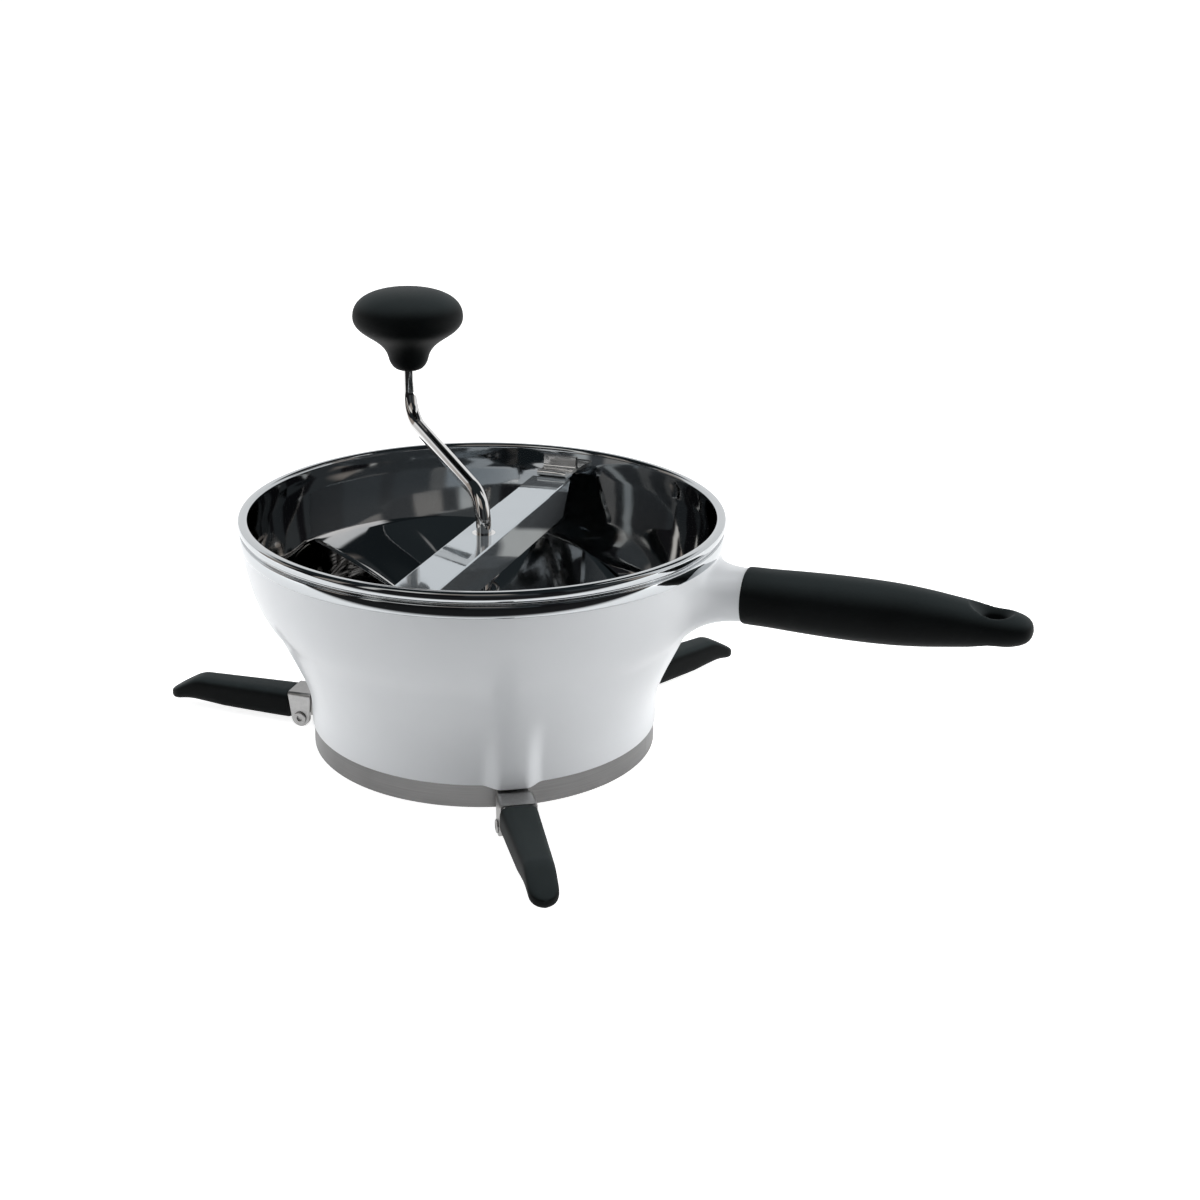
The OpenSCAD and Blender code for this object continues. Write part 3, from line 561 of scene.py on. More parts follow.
class MILL_OT_bowl(bpy.types.Operator):
    """Spins the polished bowl with its rolled bead and turned-down skirt"""

    bl_idname = "mill.bowl"
    bl_label = "Polished bowl"

    # The skirt's start below the bead's middle, its height and how far it stands out from it
    skirt_drop, skirt_height, skirt_reach = 3.7 * MM, 5 * MM, 1.9 * MM
    # Ledge that the disc rests on
    ledge_width = 6 * MM

    def bead(self, rim, height, radius):
        """The rolled bead, a little flatter on top than a circle."""
        turns = [squared(math.radians(180 - 7.6 * step), 2.7) for step in range(33)]
        return [(rim + radius * across, height + radius * rise) for across, rise in turns]

    def execute(self, context):
        s = sizes()
        rim = BOWL_HIGH.x - s.bead_radius
        height = BOWL_HIGH.z - s.bead_radius
        skirt_top = height - self.skirt_drop
        skirt_bottom = skirt_top - self.skirt_height
        skirt = rim + self.skirt_reach
        inner = rim - s.bead_radius
        ledge = BOWL_LOW.z
        inside = wall_line(s.shell_wall + SHELL_GAP + s.bowl_sheet)
        outside = wall_line(s.shell_wall + SHELL_GAP)
        foot = inside[0].x - 0.4 * MM
        edge = foot - self.ledge_width
        profile = [
            (edge, ledge), (edge, ledge + s.bowl_sheet), (foot, ledge + s.bowl_sheet),
            *inside,
            (inner, skirt_top),
            *self.bead(rim, height, s.bead_radius),
            *arc(rim + 1.3 * MM, skirt_top + 0.95 * MM, 0.55 * MM, 110, 250, 5),
            *arc(skirt - 0.85 * MM, skirt_top - 0.6 * MM, 0.75 * MM, 90, 8, 5),
            (skirt + 0.08 * MM, skirt_top - 2 * MM), (skirt + 0.12 * MM, skirt_top - 3 * MM),
            (skirt + 0.1 * MM, skirt_bottom + 0.5 * MM), (skirt, skirt_bottom + 0.12 * MM),
            (skirt - 0.2 * MM, skirt_bottom), (skirt - 0.8 * MM, skirt_bottom + 0.1 * MM),
            (skirt - 0.8 * MM, skirt_top - s.bowl_sheet), (inner + s.bowl_sheet, skirt_top - s.bowl_sheet),
            *reversed(outside),
            (foot + s.bowl_sheet, ledge),
            (edge, ledge),
        ]
        piece = spin_profile(profile, 240)
        settle(piece, "polished_bowl", "bowl_steel", "mill", "bowl", 50.0)
        return {"FINISHED"}


def smooth_max(a, b, width):
    """The larger of two values, with a rounded change from one to the other."""
    share = max(width - abs(a - b), 0.0) / width
    return max(a, b) + share * share * width / 4


# Half widths of a leg boss where it leaves the wall and at its face
BOSS_FOOT, BOSS_FACE = 14.6 * MM, 5.4 * MM


def boss_growth(wall, angle):
    """How far a leg boss stands out of a wall of some radius, at an angle from the boss."""
    if math.cos(angle) < 0.9:
        return 0.0
    s = sizes()
    front = BAND_HIGH.x + 0.3 * MM + s.boss_depth
    across = front * abs(math.sin(angle))
    share = min(1.0, max(0.0, (BOSS_FOOT - across) / (BOSS_FOOT - BOSS_FACE)))
    return (smooth_max(front, wall, 5 * MM) - wall) * smooth(share)


def squared(angle, power):
    """Point of a rounded outline of half sizes 1; power 2 is a circle."""
    c, s = math.cos(angle), math.sin(angle)
    return (math.copysign(abs(c) ** (2 / power), c), math.copysign(abs(s) ** (2 / power), s))


class MILL_OT_shell(bpy.types.Operator):
    """Spins the white shell, swells its leg bosses and draws out the handle's neck"""

    bl_idname = "mill.shell"
    bl_label = "White shell"

    # The patch of wall that the neck grows from: half angle, lowest and highest point
    patch_turn = math.radians(19)
    patch_low, patch_high = 60.5 * MM, 98.4 * MM
    # Half width and half height of the neck's far end, and the rows along it
    neck_width, neck_height = 12.1 * MM, 11.5 * MM
    neck_rows = 18

    def wall(self, line):
        """The outer wall's rows, with one row at each end of the patch."""
        rows = [Vector((line[0].x, BAND_HIGH.z + 0.6 * MM)), *line]
        for height in (self.patch_low, self.patch_high):
            for i in range(len(rows) - 1):
                low, high = rows[i], rows[i + 1]
                if low.y < height - 0.05 * MM and high.y > height + 0.05 * MM:
                    share = (height - low.y) / (high.y - low.y)
                    rows.insert(i + 1, low.lerp(high, share))
                    break
        return rows

    def radius(self, rows, height, angle):
        """Radius of the wall with its leg bosses."""
        radius = radius_at(rows, height)
        for turn in LEG_TURNS.values():
            beside = (angle - math.radians(turn) + math.pi) % math.tau - math.pi
            radius += boss_growth(radius, beside)
        return radius

    def execute(self, context):
        s = sizes()
        line = wall_line(0.0)
        rows = self.wall(line)
        inner = wall_line(s.shell_wall)
        lip = BOWL_HIGH.x - 1.5 * MM
        top = BOWL_HIGH.z - 7.2 * MM
        profile = [
            (rows[0].x - 0.6 * MM, BAND_HIGH.z), (rows[0].x - 0.2 * MM, BAND_HIGH.z + 0.15 * MM), *rows,
            (lip, rows[-1].y + 0.1 * MM), (lip, top), (inner[-1].x, top), *reversed(inner),
            (inner[0].x - 0.4 * MM, BAND_HIGH.z), (rows[0].x - 0.6 * MM, BAND_HIGH.z),
        ]
        piece = spin_profile(profile, 360)
        mesh = bmesh.new()
        mesh.from_mesh(piece.data)
        self.draw_neck(mesh, rows)
        mesh.to_mesh(piece.data)
        mesh.free()
        settle(piece, "white_shell", "shell_plastic", "mill", "outer_shell", 50.0)
        return {"FINISHED"}

    def draw_neck(self, mesh, rows):
        """Swells the bosses, rounds the patch and draws its rim out to the grip."""
        middle = (self.patch_low + self.patch_high) / 2
        half = (self.patch_high - self.patch_low) / 2
        still = BAND_HIGH.z + 2 * MM

        def on_patch(co):
            """Place of a wall point in the patch, whose edges are at -1 and 1."""
            return math.atan2(co.y, co.x) / self.patch_turn, (co.z - middle) / half

        def is_outer(co):
            """Tells whether a place is on the wall's outer side."""
            base = radius_at(rows, co.z)
            return co.z > BAND_HIGH.z - NEAR and math.hypot(co.x, co.y) > base - 0.7 * MM

        outer = [v for v in mesh.verts if is_outer(v.co)]
        patch = []
        for face in mesh.faces:
            u, v = on_patch(face.calc_center_median())
            if abs(u) < 1 and abs(v) < 1 and all(is_outer(w.co) for w in face.verts):
                patch.append(face)
        chosen = set(patch)
        rim = {v for f in patch for e in f.edges if len(chosen & set(e.link_faces)) == 1 for v in e.verts}

        def shifted(u, v):
            """Moves the square patch's rows towards a rounded outline, less so further out."""
            power, fade = 2.6, 1.2
            reach = max(abs(u), abs(v))
            if not NEAR < reach < 1 + fade:
                return u, v
            round_reach = (abs(u) ** power + abs(v) ** power) ** (1 / power)
            share = 1.0 if reach <= 1 else 1 - (reach - 1) / fade
            pull = 1 + (reach / round_reach - 1) * smooth(share)
            return u * pull, v * pull

        def wall_point(u, v):
            """The wall's place under a point of the patch."""
            angle = u * self.patch_turn
            height = min(middle + v * half, rows[-1].y)
            r = self.radius(rows, height, angle)
            return Vector((r * math.cos(angle), r * math.sin(angle), height))

        places = {}
        for vert in outer:
            u, v = on_patch(vert.co)
            if still < vert.co.z < rows[-1].y - NEAR and abs(u) < 3:
                u, v = shifted(u, v)
                places[vert] = (u, v)
                vert.co = wall_point(u, v)
            else:
                angle = math.atan2(vert.co.y, vert.co.x)
                grown = self.radius(rows, vert.co.z, angle) - radius_at(rows, vert.co.z)
                vert.co += Vector((vert.co.x, vert.co.y, 0)).normalized() * grown
        bmesh.ops.delete(mesh, geom=patch, context="FACES")
        ring = sorted((v for v in rim if v.is_valid), key=lambda v: math.atan2(places[v][1], places[v][0]))
        axis = (GRIP_LOW.z + GRIP_HIGH.z) / 2
        face = GRIP_LOW.x + 0.2 * MM
        paths = []
        for vert in ring:
            u, v = places[vert]
            angle = math.atan2(v, u)
            inward = (wall_point(u * 0.93, v * 0.93) - wall_point(u, v)).normalized()
            lift = max(0.0, math.sin(angle))
            pull = (13 - 11.5 * lift**1.5) * MM
            cy, cz = squared(angle, 2.3)
            end = Vector((face, self.neck_width * cy, axis + self.neck_height * cz))
            run = Vector(((11 + 4 * (1 - lift)) * MM, -1.2 * MM * cy, -1.0 * MM * cz * (1 - lift)))
            path = bezier(vert.co.copy(), vert.co + inward * pull, end - run, end, self.neck_rows)
            # A last row halfway in closes the end under the grip
            path.append(Vector((face, end.y * 0.5, axis + (end.z - axis) * 0.5)))
            paths.append(path)
        for places_along in list(zip(*paths))[1:]:
            fresh = [mesh.verts.new(place) for place in places_along]
            for i in range(len(ring)):
                j = (i + 1) % len(ring)
                mesh.faces.new((ring[i], ring[j], fresh[j], fresh[i]))
            ring = fresh
        mesh.faces.new(ring)
        bmesh.ops.recalc_face_normals(mesh, faces=mesh.faces)


def draw_out(sections, power, count):
    """Draws a solid along X through (place, middle height, half width, half height) sections."""
    start_piece()
    bpy.ops.mesh.primitive_circle_add(
        vertices=count, radius=1.0, fill_type="NGON", rotation=(math.pi / 2, 0, math.pi / 2))
    piece = bpy.context.object
    bpy.ops.object.transform_apply(rotation=True)
    for vert in piece.data.vertices:
        y, z = squared(math.atan2(vert.co.z, vert.co.y), power)
        vert.co = (0.0, y, z)
    bpy.ops.object.mode_set(mode="EDIT")
    bpy.ops.mesh.select_mode(type="FACE")
    bpy.ops.mesh.select_all(action="SELECT")
    x, z, half_width, half_height = sections[0]
    bpy.ops.transform.resize(value=(1.0, half_width, half_height), center_override=(0, 0, 0))
    bpy.ops.transform.translate(value=(x, 0.0, z))
    for before, after in zip(sections, sections[1:]):
        move = (after[0] - before[0], 0.0, after[1] - before[1])
        extrude(move)
        bpy.ops.transform.resize(
            value=(1.0, after[2] / before[2], after[3] / before[3]),
            center_override=(after[0], 0.0, after[1]))
    clean()
    return piece


def between(table, share):
    """Row of a table at a share of the length, on a smooth curve through its rows."""
    for i in range(len(table) - 1):
        if table[i][0] <= share <= table[i + 1][0]:
            break
    p0, p1, p2, p3 = table[max(i - 1, 0)], table[i], table[i + 1], table[min(i + 2, len(table) - 1)]
    span = p2[0] - p1[0]
    t = (share - p1[0]) / span
    found = []
    for k in range(1, len(p1)):
        first = (p2[k] - p0[k]) / max(p2[0] - p0[0], 1e-9) * span
        last = (p3[k] - p1[k]) / max(p3[0] - p1[0], 1e-9) * span
        found.append(
            (2 * t**3 - 3 * t * t + 1) * p1[k] + (t**3 - 2 * t * t + t) * first
            + (3 * t * t - 2 * t**3) * p2[k] + (t**3 - t * t) * last)
    return found


class MILL_OT_handle(bpy.types.Operator):
    """Draws the soft handle grip and cuts its dished hanging hole"""

    bl_idname = "mill.handle"
    bl_label = "Handle grip"

    # Distance from the grip's end to the middle of its hole
    hole_inset = 16.5 * MM
    # Share of the length, height and width
    swell = [
        (0.0, 0.87, 0.88), (0.004, 0.905, 0.915), (0.01, 0.918, 0.928), (0.09, 0.93, 0.94),
        (0.19, 0.965, 0.97), (0.28, 0.99, 0.99), (0.37, 1.0, 1.0), (0.46, 0.995, 0.985),
        (0.55, 0.965, 0.95), (0.64, 0.895, 0.89), (0.72, 0.8, 0.83), (0.79, 0.71, 0.79),
        (0.85, 0.635, 0.765), (0.9, 0.575, 0.74), (0.94, 0.51, 0.675), (0.97, 0.42, 0.56),
        (0.988, 0.305, 0.41), (0.997, 0.17, 0.23), (1.0, 0.03, 0.05),
    ]

    def execute(self, context):
        length = GRIP_HIGH.x - GRIP_LOW.x
        height = (GRIP_HIGH.z - GRIP_LOW.z) / 2
        width = (GRIP_HIGH.y - GRIP_LOW.y) / 2
        axis = (GRIP_HIGH.z + GRIP_LOW.z) / 2
        shares = [0.0, 0.004, 0.01] + [0.02 + 0.9 * i / 44 for i in range(45)]
        shares += [0.935, 0.95, 0.962, 0.974, 0.983, 0.99, 0.995, 0.998, 1.0]
        sections = []
        for share in shares:
            tall, wide = between(self.swell, share)
            sections.append((GRIP_LOW.x + share * length, axis, wide * width, tall * height))
        piece = draw_out(sections, 2.15, 72)
        hole = sizes().hang_radius
        mouth, clear = hole + 6.4 * MM, axis + 20 * MM
        dish = bezier(
            Vector((hole, 2.6 * MM)), Vector((hole, 4.6 * MM)), Vector((hole + 2.2 * MM, 5.6 * MM)),
            Vector((mouth, 9.4 * MM)), 12)
        upper = [(p.x, axis + p.y) for p in dish] + [(mouth, clear), (0.0, clear)]
        lower = [(r, 2 * axis - z) for r, z in reversed(upper)]
        spool = spin_profile(lower + upper, 64, (GRIP_HIGH.x - self.hole_inset, 0.0))
        cut(piece, spool)
        add_modifier(piece, "REMESH", mode="VOXEL", voxel_size=0.55 * MM)
        add_modifier(piece, "SMOOTH", factor=0.5, iterations=4)
        settle(piece, "handle_soft_grip", "soft_rubber", "mill", "handle_grip", 180.0)
        return {"FINISHED"}


class MILL_OT_legs(bpy.types.Operator):
    """Draws one soft leg and copies it to the three hinges"""

    bl_idname = "mill.legs"
    bl_label = "Folding legs"

    # Share of the length, underside and top, in millimetres
    side = [
        (0.0, -4.25, 9.6), (0.012, -4.5, 9.85), (0.25, -4.3, 9.8), (0.5, -3.9, 9.65), (0.7, -3.45, 9.55),
        (0.735, -3.4, 9.5), (0.765, -3.3, 9.1), (0.8, -3.25, 8.3), (0.85, -3.35, 6.5), (0.9, -3.8, 4.6),
        (0.94, -4.15, 3.0), (0.97, -4.0, 1.75), (0.99, -3.05, 0.85), (1.0, -1.85, 0.1),
    ]
    # Distances of the two ends from the crank's axis, and half widths at them
    root, tip = 97.8 * MM, 163 * MM
    wide, narrow = 8.4 * MM, 6.2 * MM

    def round_tip(self, piece, length):
        """Turns the squarish underside into a round one towards the tip."""
        for vert in piece.data.vertices:
            share = (vert.co.x - self.root) / length
            low, high = between(self.side, min(max(share, 0.0), 1.0))
            middle = (low + high) / 2 * MM
            drop = min(1.0, max(0.0, (middle - vert.co.z) / max((high - low) / 2 * MM, 1e-6)))
            ease = min(1.0, max(0.0, (share - 0.55) / 0.35))
            vert.co.y *= 1 + (math.sqrt(1 - 0.94 * drop**2) - 1) * ease

    def execute(self, context):
        length = self.tip - self.root
        # The sections stand closer together at the root, the nose and the tip
        shares = [0.0, 0.004, 0.012, 0.03] + [0.06 + 0.04 * i for i in range(16)]
        shares += [0.69, 0.71, 0.725, 0.735, 0.745, 0.755, 0.765, 0.78, 0.8, 0.825, 0.85, 0.875, 0.9, 0.92,
                   0.94, 0.955, 0.968, 0.978, 0.986, 0.992, 0.997, 1.0]
        sections = []
        for share in shares:
            low, high = between(self.side, share)
            full = self.wide + (self.narrow - self.wide) * share
            left = (1 - share) * length
            rounding = math.sqrt(max(0.012, 1 - (1 - left / full) ** 2)) if left < full else 1.0
            sections.append((
                self.root + share * length, (low + high) / 2 * MM, full * rounding, (high - low) / 2 * MM))
        leg = draw_out(sections, 3.7, 56)
        self.round_tip(leg, length)
        for name, piece in spread(LEG_TURNS, leg):
            settle(piece, "leg_soft_grip_" + name, "soft_rubber", "leg_" + name, "leg_grip_" + name, 24.0)
        return {"FINISHED"}


def slab(outline, width):
    """A plate with an outline of (place along X, height) points, centred on the XZ plane."""
    piece = draw_line([Vector((x, -width / 2, z)) for x, z in outline])
    bpy.ops.mesh.select_all(action="SELECT")
    bpy.ops.mesh.edge_face_add()
    extrude((0.0, width, 0.0))
    clean()
    return piece


def cut(piece, tool):
    """Takes one piece out of another."""
    add_modifier(piece, "BOOLEAN", operation="DIFFERENCE", object=tool, solver="EXACT")
    bpy.data.objects.remove(tool)


class MILL_OT_brackets(bpy.types.Operator):
    """Folds the legs' brackets from sheet and closes their hollow rivets"""

    bl_idname = "mill.brackets"
    bl_label = "Leg brackets and rivets"

    # Width over the cheeks, and height of the flat top
    width, top = 16.4 * MM, 10 * MM
    # Radius of the rounded cheeks, and the bracket's ends seen from the rivet
    lobe = 4.5 * MM
    behind, ahead = 5.5 * MM, 6.3 * MM

    def bracket(self, pivot, height):
        """An upturned channel of sheet that tapers to round cheeks."""
        sheet = sizes().leg_sheet
        inner, outer = pivot - self.behind, pivot + self.ahead
        foot = arc(pivot, height, self.lobe, 0, -180, 20)
        piece = slab([(inner, self.top), (outer, self.top), *foot, (inner, self.top - 4 * MM)], self.width)
        bpy.ops.object.mode_set(mode="EDIT")
        bpy.ops.mesh.select_mode(type="EDGE")
        pick(piece, "edges", lambda edge: min(v.co.z for v in edge.verts) > self.top - NEAR
             and abs(sum(v.co.y for v in edge.verts)) > NEAR)
        bpy.ops.mesh.bevel(offset=1.6 * MM, segments=5, affect="EDGES")
        bpy.ops.object.mode_set(mode="OBJECT")
        roof = self.top - sheet
        inner, outer = inner - MM, outer + MM
        cut(piece, slab([(inner, roof), (outer, roof), (outer, -self.top), (inner, -self.top)],
                        self.width - 2 * sheet))
        add_modifier(piece, "BEVEL", width=0.28 * MM, segments=3, limit_method="ANGLE",
                     angle_limit=math.radians(50))
        return piece

    def rivet(self, pivot, height):
        """A hollow rivet through both cheeks, with a rolled head at each end."""
        bore, shank, head = 1.35 * MM, 2.25 * MM, 3.15 * MM
        inside = self.width / 2 + 0.3 * MM
        outside = inside + 0.7 * MM
        half = [
            (shank, 0.0), (shank, inside), (head - 0.15 * MM, inside), (head, inside + 0.15 * MM),
            (head - 0.05 * MM, inside + 0.4 * MM), (head - 0.4 * MM, outside - 0.08 * MM),
            (head - 0.8 * MM, outside), (bore + 0.4 * MM, outside), (bore + 0.08 * MM, outside - 0.12 * MM),
            (bore, outside - 0.5 * MM)]
        piece = spin_profile(half + [(r, -z) for r, z in reversed(half)], 48)
        put(piece, (math.pi / 2, 0, 0), (pivot, 0, height))
        return piece

    def execute(self, context):
        pivot = math.hypot(PIVOT.x, PIVOT.y)
        models = self.bracket(pivot, PIVOT.z), self.rivet(pivot, PIVOT.z)
        for name, bracket, rivet in spread(LEG_TURNS, *models):
            for piece, kind, rider in ((bracket, "bracket", "leg_" + name), (rivet, "rivet", "mill")):
                node = "leg_" + kind + "_" + name
                settle(piece, "pressed_" + node, "bracket_steel", rider, node, 35.0)
                flatten(piece, 6 * MM * MM)
        return {"FINISHED"}


class MILL_OT_clips(bpy.types.Operator):
    """Forms the two clips that hold the crossbar's tongues under the rim"""

    bl_idname = "mill.clips"
    bl_label = "Bar clips"

    def execute(self, context):
        sheet, lip = 1.2 * MM, 1.4 * MM
        wall = BOWL_HIGH.x - 2 * sizes().bead_radius
        shelf, top = CLIP_LOW.z, CLIP_HIGH.z
        reach = CLIP_LOW.y + lip
        span = math.degrees((CLIP_HIGH.x - CLIP_LOW.x) / wall)
        outline = [
            (wall, shelf), *arc(reach, shelf + lip, lip, -90, -351, 14),
            *arc(wall - sheet - 1.6 * MM, shelf + sheet + 1.6 * MM, 1.6 * MM, -90, 0, 6),
            (wall - sheet, top - 0.35 * MM), (wall - sheet + 0.35 * MM, top), (wall, top), (wall, shelf)]
        clip = spin_profile(outline, 10, angle=span)
        bpy.ops.object.mode_set(mode="EDIT")
        bpy.ops.mesh.select_all(action="SELECT")
        bpy.ops.mesh.fill_holes(sides=0)
        bpy.ops.mesh.normals_make_consistent(inside=False)
        bpy.ops.object.mode_set(mode="OBJECT")
        middle = sum((v.co for v in clip.data.vertices), Vector()) / len(clip.data.vertices)
        put(clip, (0, 0, -math.atan2(middle.y, middle.x)))
        for name, piece in spread({"left": 90.0, "right": -90.0}, clip):
            node = "bar_clip_" + name
            settle(piece, "formed_" + node, "clip_steel", "mill", node, 35.0)
        return {"FINISHED"}


class MILL_OT_spring(bpy.types.Operator):
    """Winds the spring from round wire"""

    bl_idname = "mill.spring"
    bl_label = "Spring"

    turns = 8
    per_turn = 28

    def execute(self, context):
        wire = sizes().wire_radius
        radius = SPRING_HIGH.x - wire
        low, high = SPRING_LOW.z + wire, SPRING_HIGH.z - wire
        total = self.turns * self.per_turn
        dead = 0.8 * self.per_turn
        path = []
        for step in range(total + 1):
            angle = math.tau * step / self.per_turn
            climb = min(1.0, max(0.0, (step - dead) / (total - 2 * dead)))
            height = low + (high - low) * climb
            path.append(Vector((radius * math.cos(angle), radius * math.sin(angle), height)))
        coil = draw_line(path)
        bpy.ops.object.mode_set(mode="OBJECT")
        bpy.ops.object.convert(target="CURVE")
        coil.data.bevel_depth = wire
        coil.data.bevel_resolution = 3
        coil.data.use_fill_caps = True
        bpy.ops.object.convert(target="MESH")
        settle(coil, "wound_spring", "coil_steel", "mill", "bar_spring", 60.0)
        travel = abs(JOINTS["bar_press"]["range_m"][0])
        1 - travel / (SPRING_HIGH.z - SPRING_LOW.z)
        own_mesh(coil)
        return {"FINISHED"}


class MILL_OT_crossbar(bpy.types.Operator):
    """Folds the crossbar from sheet, with its tongues and the bush's hole"""

    bl_idname = "mill.crossbar"
    bl_label = "Crossbar"

    # Half length of the full width, and half width of the tongues beyond it
    reach = 91 * MM
    tongue_width = 7 * MM

    def execute(self, context):
        s = sizes()
        half, tongue, top = BAR_HIGH
        reach = self.reach
        start_piece()
        bpy.ops.mesh.primitive_grid_add(x_subdivisions=3, y_subdivisions=1, size=2 * MM)
        piece = bpy.context.object
        columns = {-1: -half, -0.333: -self.tongue_width, 0.333: self.tongue_width, 1: half}
        for vert in piece.data.vertices:
            key = min(columns, key=lambda k: abs(k * MM - vert.co.x))
            vert.co = (columns[key], math.copysign(reach, vert.co.y), top)
        bpy.ops.object.mode_set(mode="EDIT")
        bpy.ops.mesh.select_mode(type="EDGE")

        def stands_at(edge, x, y):
            """Tells whether an edge's middle is above a place."""
            middle = (edge.verts[0].co + edge.verts[1].co) / 2
            return abs(middle.x - x) < NEAR and abs(middle.y - y) < NEAR

        for side in (-1, 1):
            pick(piece, "edges", lambda edge: stands_at(edge, 0.0, side * reach))
            extrude((0.0, side * (tongue - reach), 0.0))
        for side in (-1, 1):
            pick(piece, "edges", lambda edge: stands_at(edge, side * half, 0.0))
            extrude((0.0, 0.0, BAR_LOW.z - top))
        # The flanges end in a slant
        depth = top - BAR_LOW.z
        for side in (-1, 1):
            pick(piece, "faces", lambda face: abs(face.normal.x) > 0.9)
            bpy.ops.mesh.bisect(
                plane_co=(0.0, side * (reach - 7 * MM), BAR_LOW.z + 0.35 * depth),
                plane_no=(0.0, side * 0.82, -0.57), use_fill=False, clear_outer=True)
        pick(piece, "edges", lambda edge: len(edge.link_faces) == 2 and all(
            abs(abs(v.co.x) - half) < NEAR and abs(v.co.z - top) < NEAR for v in edge.verts))
        bpy.ops.mesh.bevel(offset=0.8 * MM, segments=4, affect="EDGES")
        bpy.ops.mesh.select_all(action="SELECT")
        bpy.ops.mesh.normals_make_consistent(inside=False)
        bpy.ops.object.mode_set(mode="OBJECT")
        up = sum(f.normal.z * f.area for f in piece.data.polygons)
        add_modifier(piece, "SOLIDIFY", thickness=s.bar_sheet, offset=-1.0 if up > 0 else 1.0,
                     use_even_offset=True)
        start_piece()
        bpy.ops.mesh.primitive_cylinder_add(vertices=64, radius=s.rod_radius + 1.8 * MM, depth=20 * MM,
                                            location=(0, 0, top))
        cut(piece, bpy.context.object)
        add_modifier(piece, "BEVEL", width=0.22 * MM, segments=2, limit_method="ANGLE",
                     angle_limit=math.radians(40))
        settle(piece, "sheet_crossbar", "bar_steel", "bar", "crossbar", 35.0)
        flatten(piece, 12 * MM * MM)
        return {"FINISHED"}


class MILL_OT_crank(bpy.types.Operator):
    """Bends the crank rod"""

    bl_idname = "mill.crank"
    bl_label = "Crank rod"

    def execute(self, context):
        s = sizes()
        reach = Vector((KNOB_AXIS.x, KNOB_AXIS.y)).length
        turn = math.atan2(KNOB_AXIS.y, KNOB_AXIS.x)
        elbow, wrist = 115 * MM, 131 * MM
        bend_steps = 28
        rise = math.atan((wrist - elbow) / reach)
        sweep = math.pi / 2 - rise
        setback = s.rod_bend * math.tan(sweep / 2)
        slant = math.hypot(reach, wrist - elbow) - 2 * setback
        start_piece()
        bpy.ops.mesh.primitive_circle_add(
            vertices=40, radius=s.rod_radius, fill_type="NOTHING", location=(0, 0, ROD_LOW.z))
        piece = bpy.context.object
        bpy.ops.object.transform_apply(location=True)
        bpy.ops.object.mode_set(mode="EDIT")
        bpy.ops.mesh.select_mode(type="EDGE")
        bpy.ops.mesh.select_all(action="SELECT")
        low = elbow - setback
        extrude((0, 0, low - ROD_LOW.z))
        bpy.ops.mesh.spin(
            steps=bend_steps, angle=-sweep, center=(s.rod_bend, 0.0, low), axis=(0.0, 1.0, 0.0))
        step = Vector((math.cos(rise), 0.0, math.sin(rise))) * slant
        extrude(step)
        high = wrist + setback
        bpy.ops.mesh.spin(
            steps=bend_steps, angle=sweep, center=(reach - s.rod_bend, 0.0, high), axis=(0.0, 1.0, 0.0))
        extrude((0, 0, ROD_HIGH.z - high))
        bpy.ops.mesh.edge_face_add()
        clean(1e-7)
        put(piece, (0, 0, turn))
        settle(piece, "bent_crank_rod", "drawn_steel", "crank", "crank_rod")
        return {"FINISHED"}


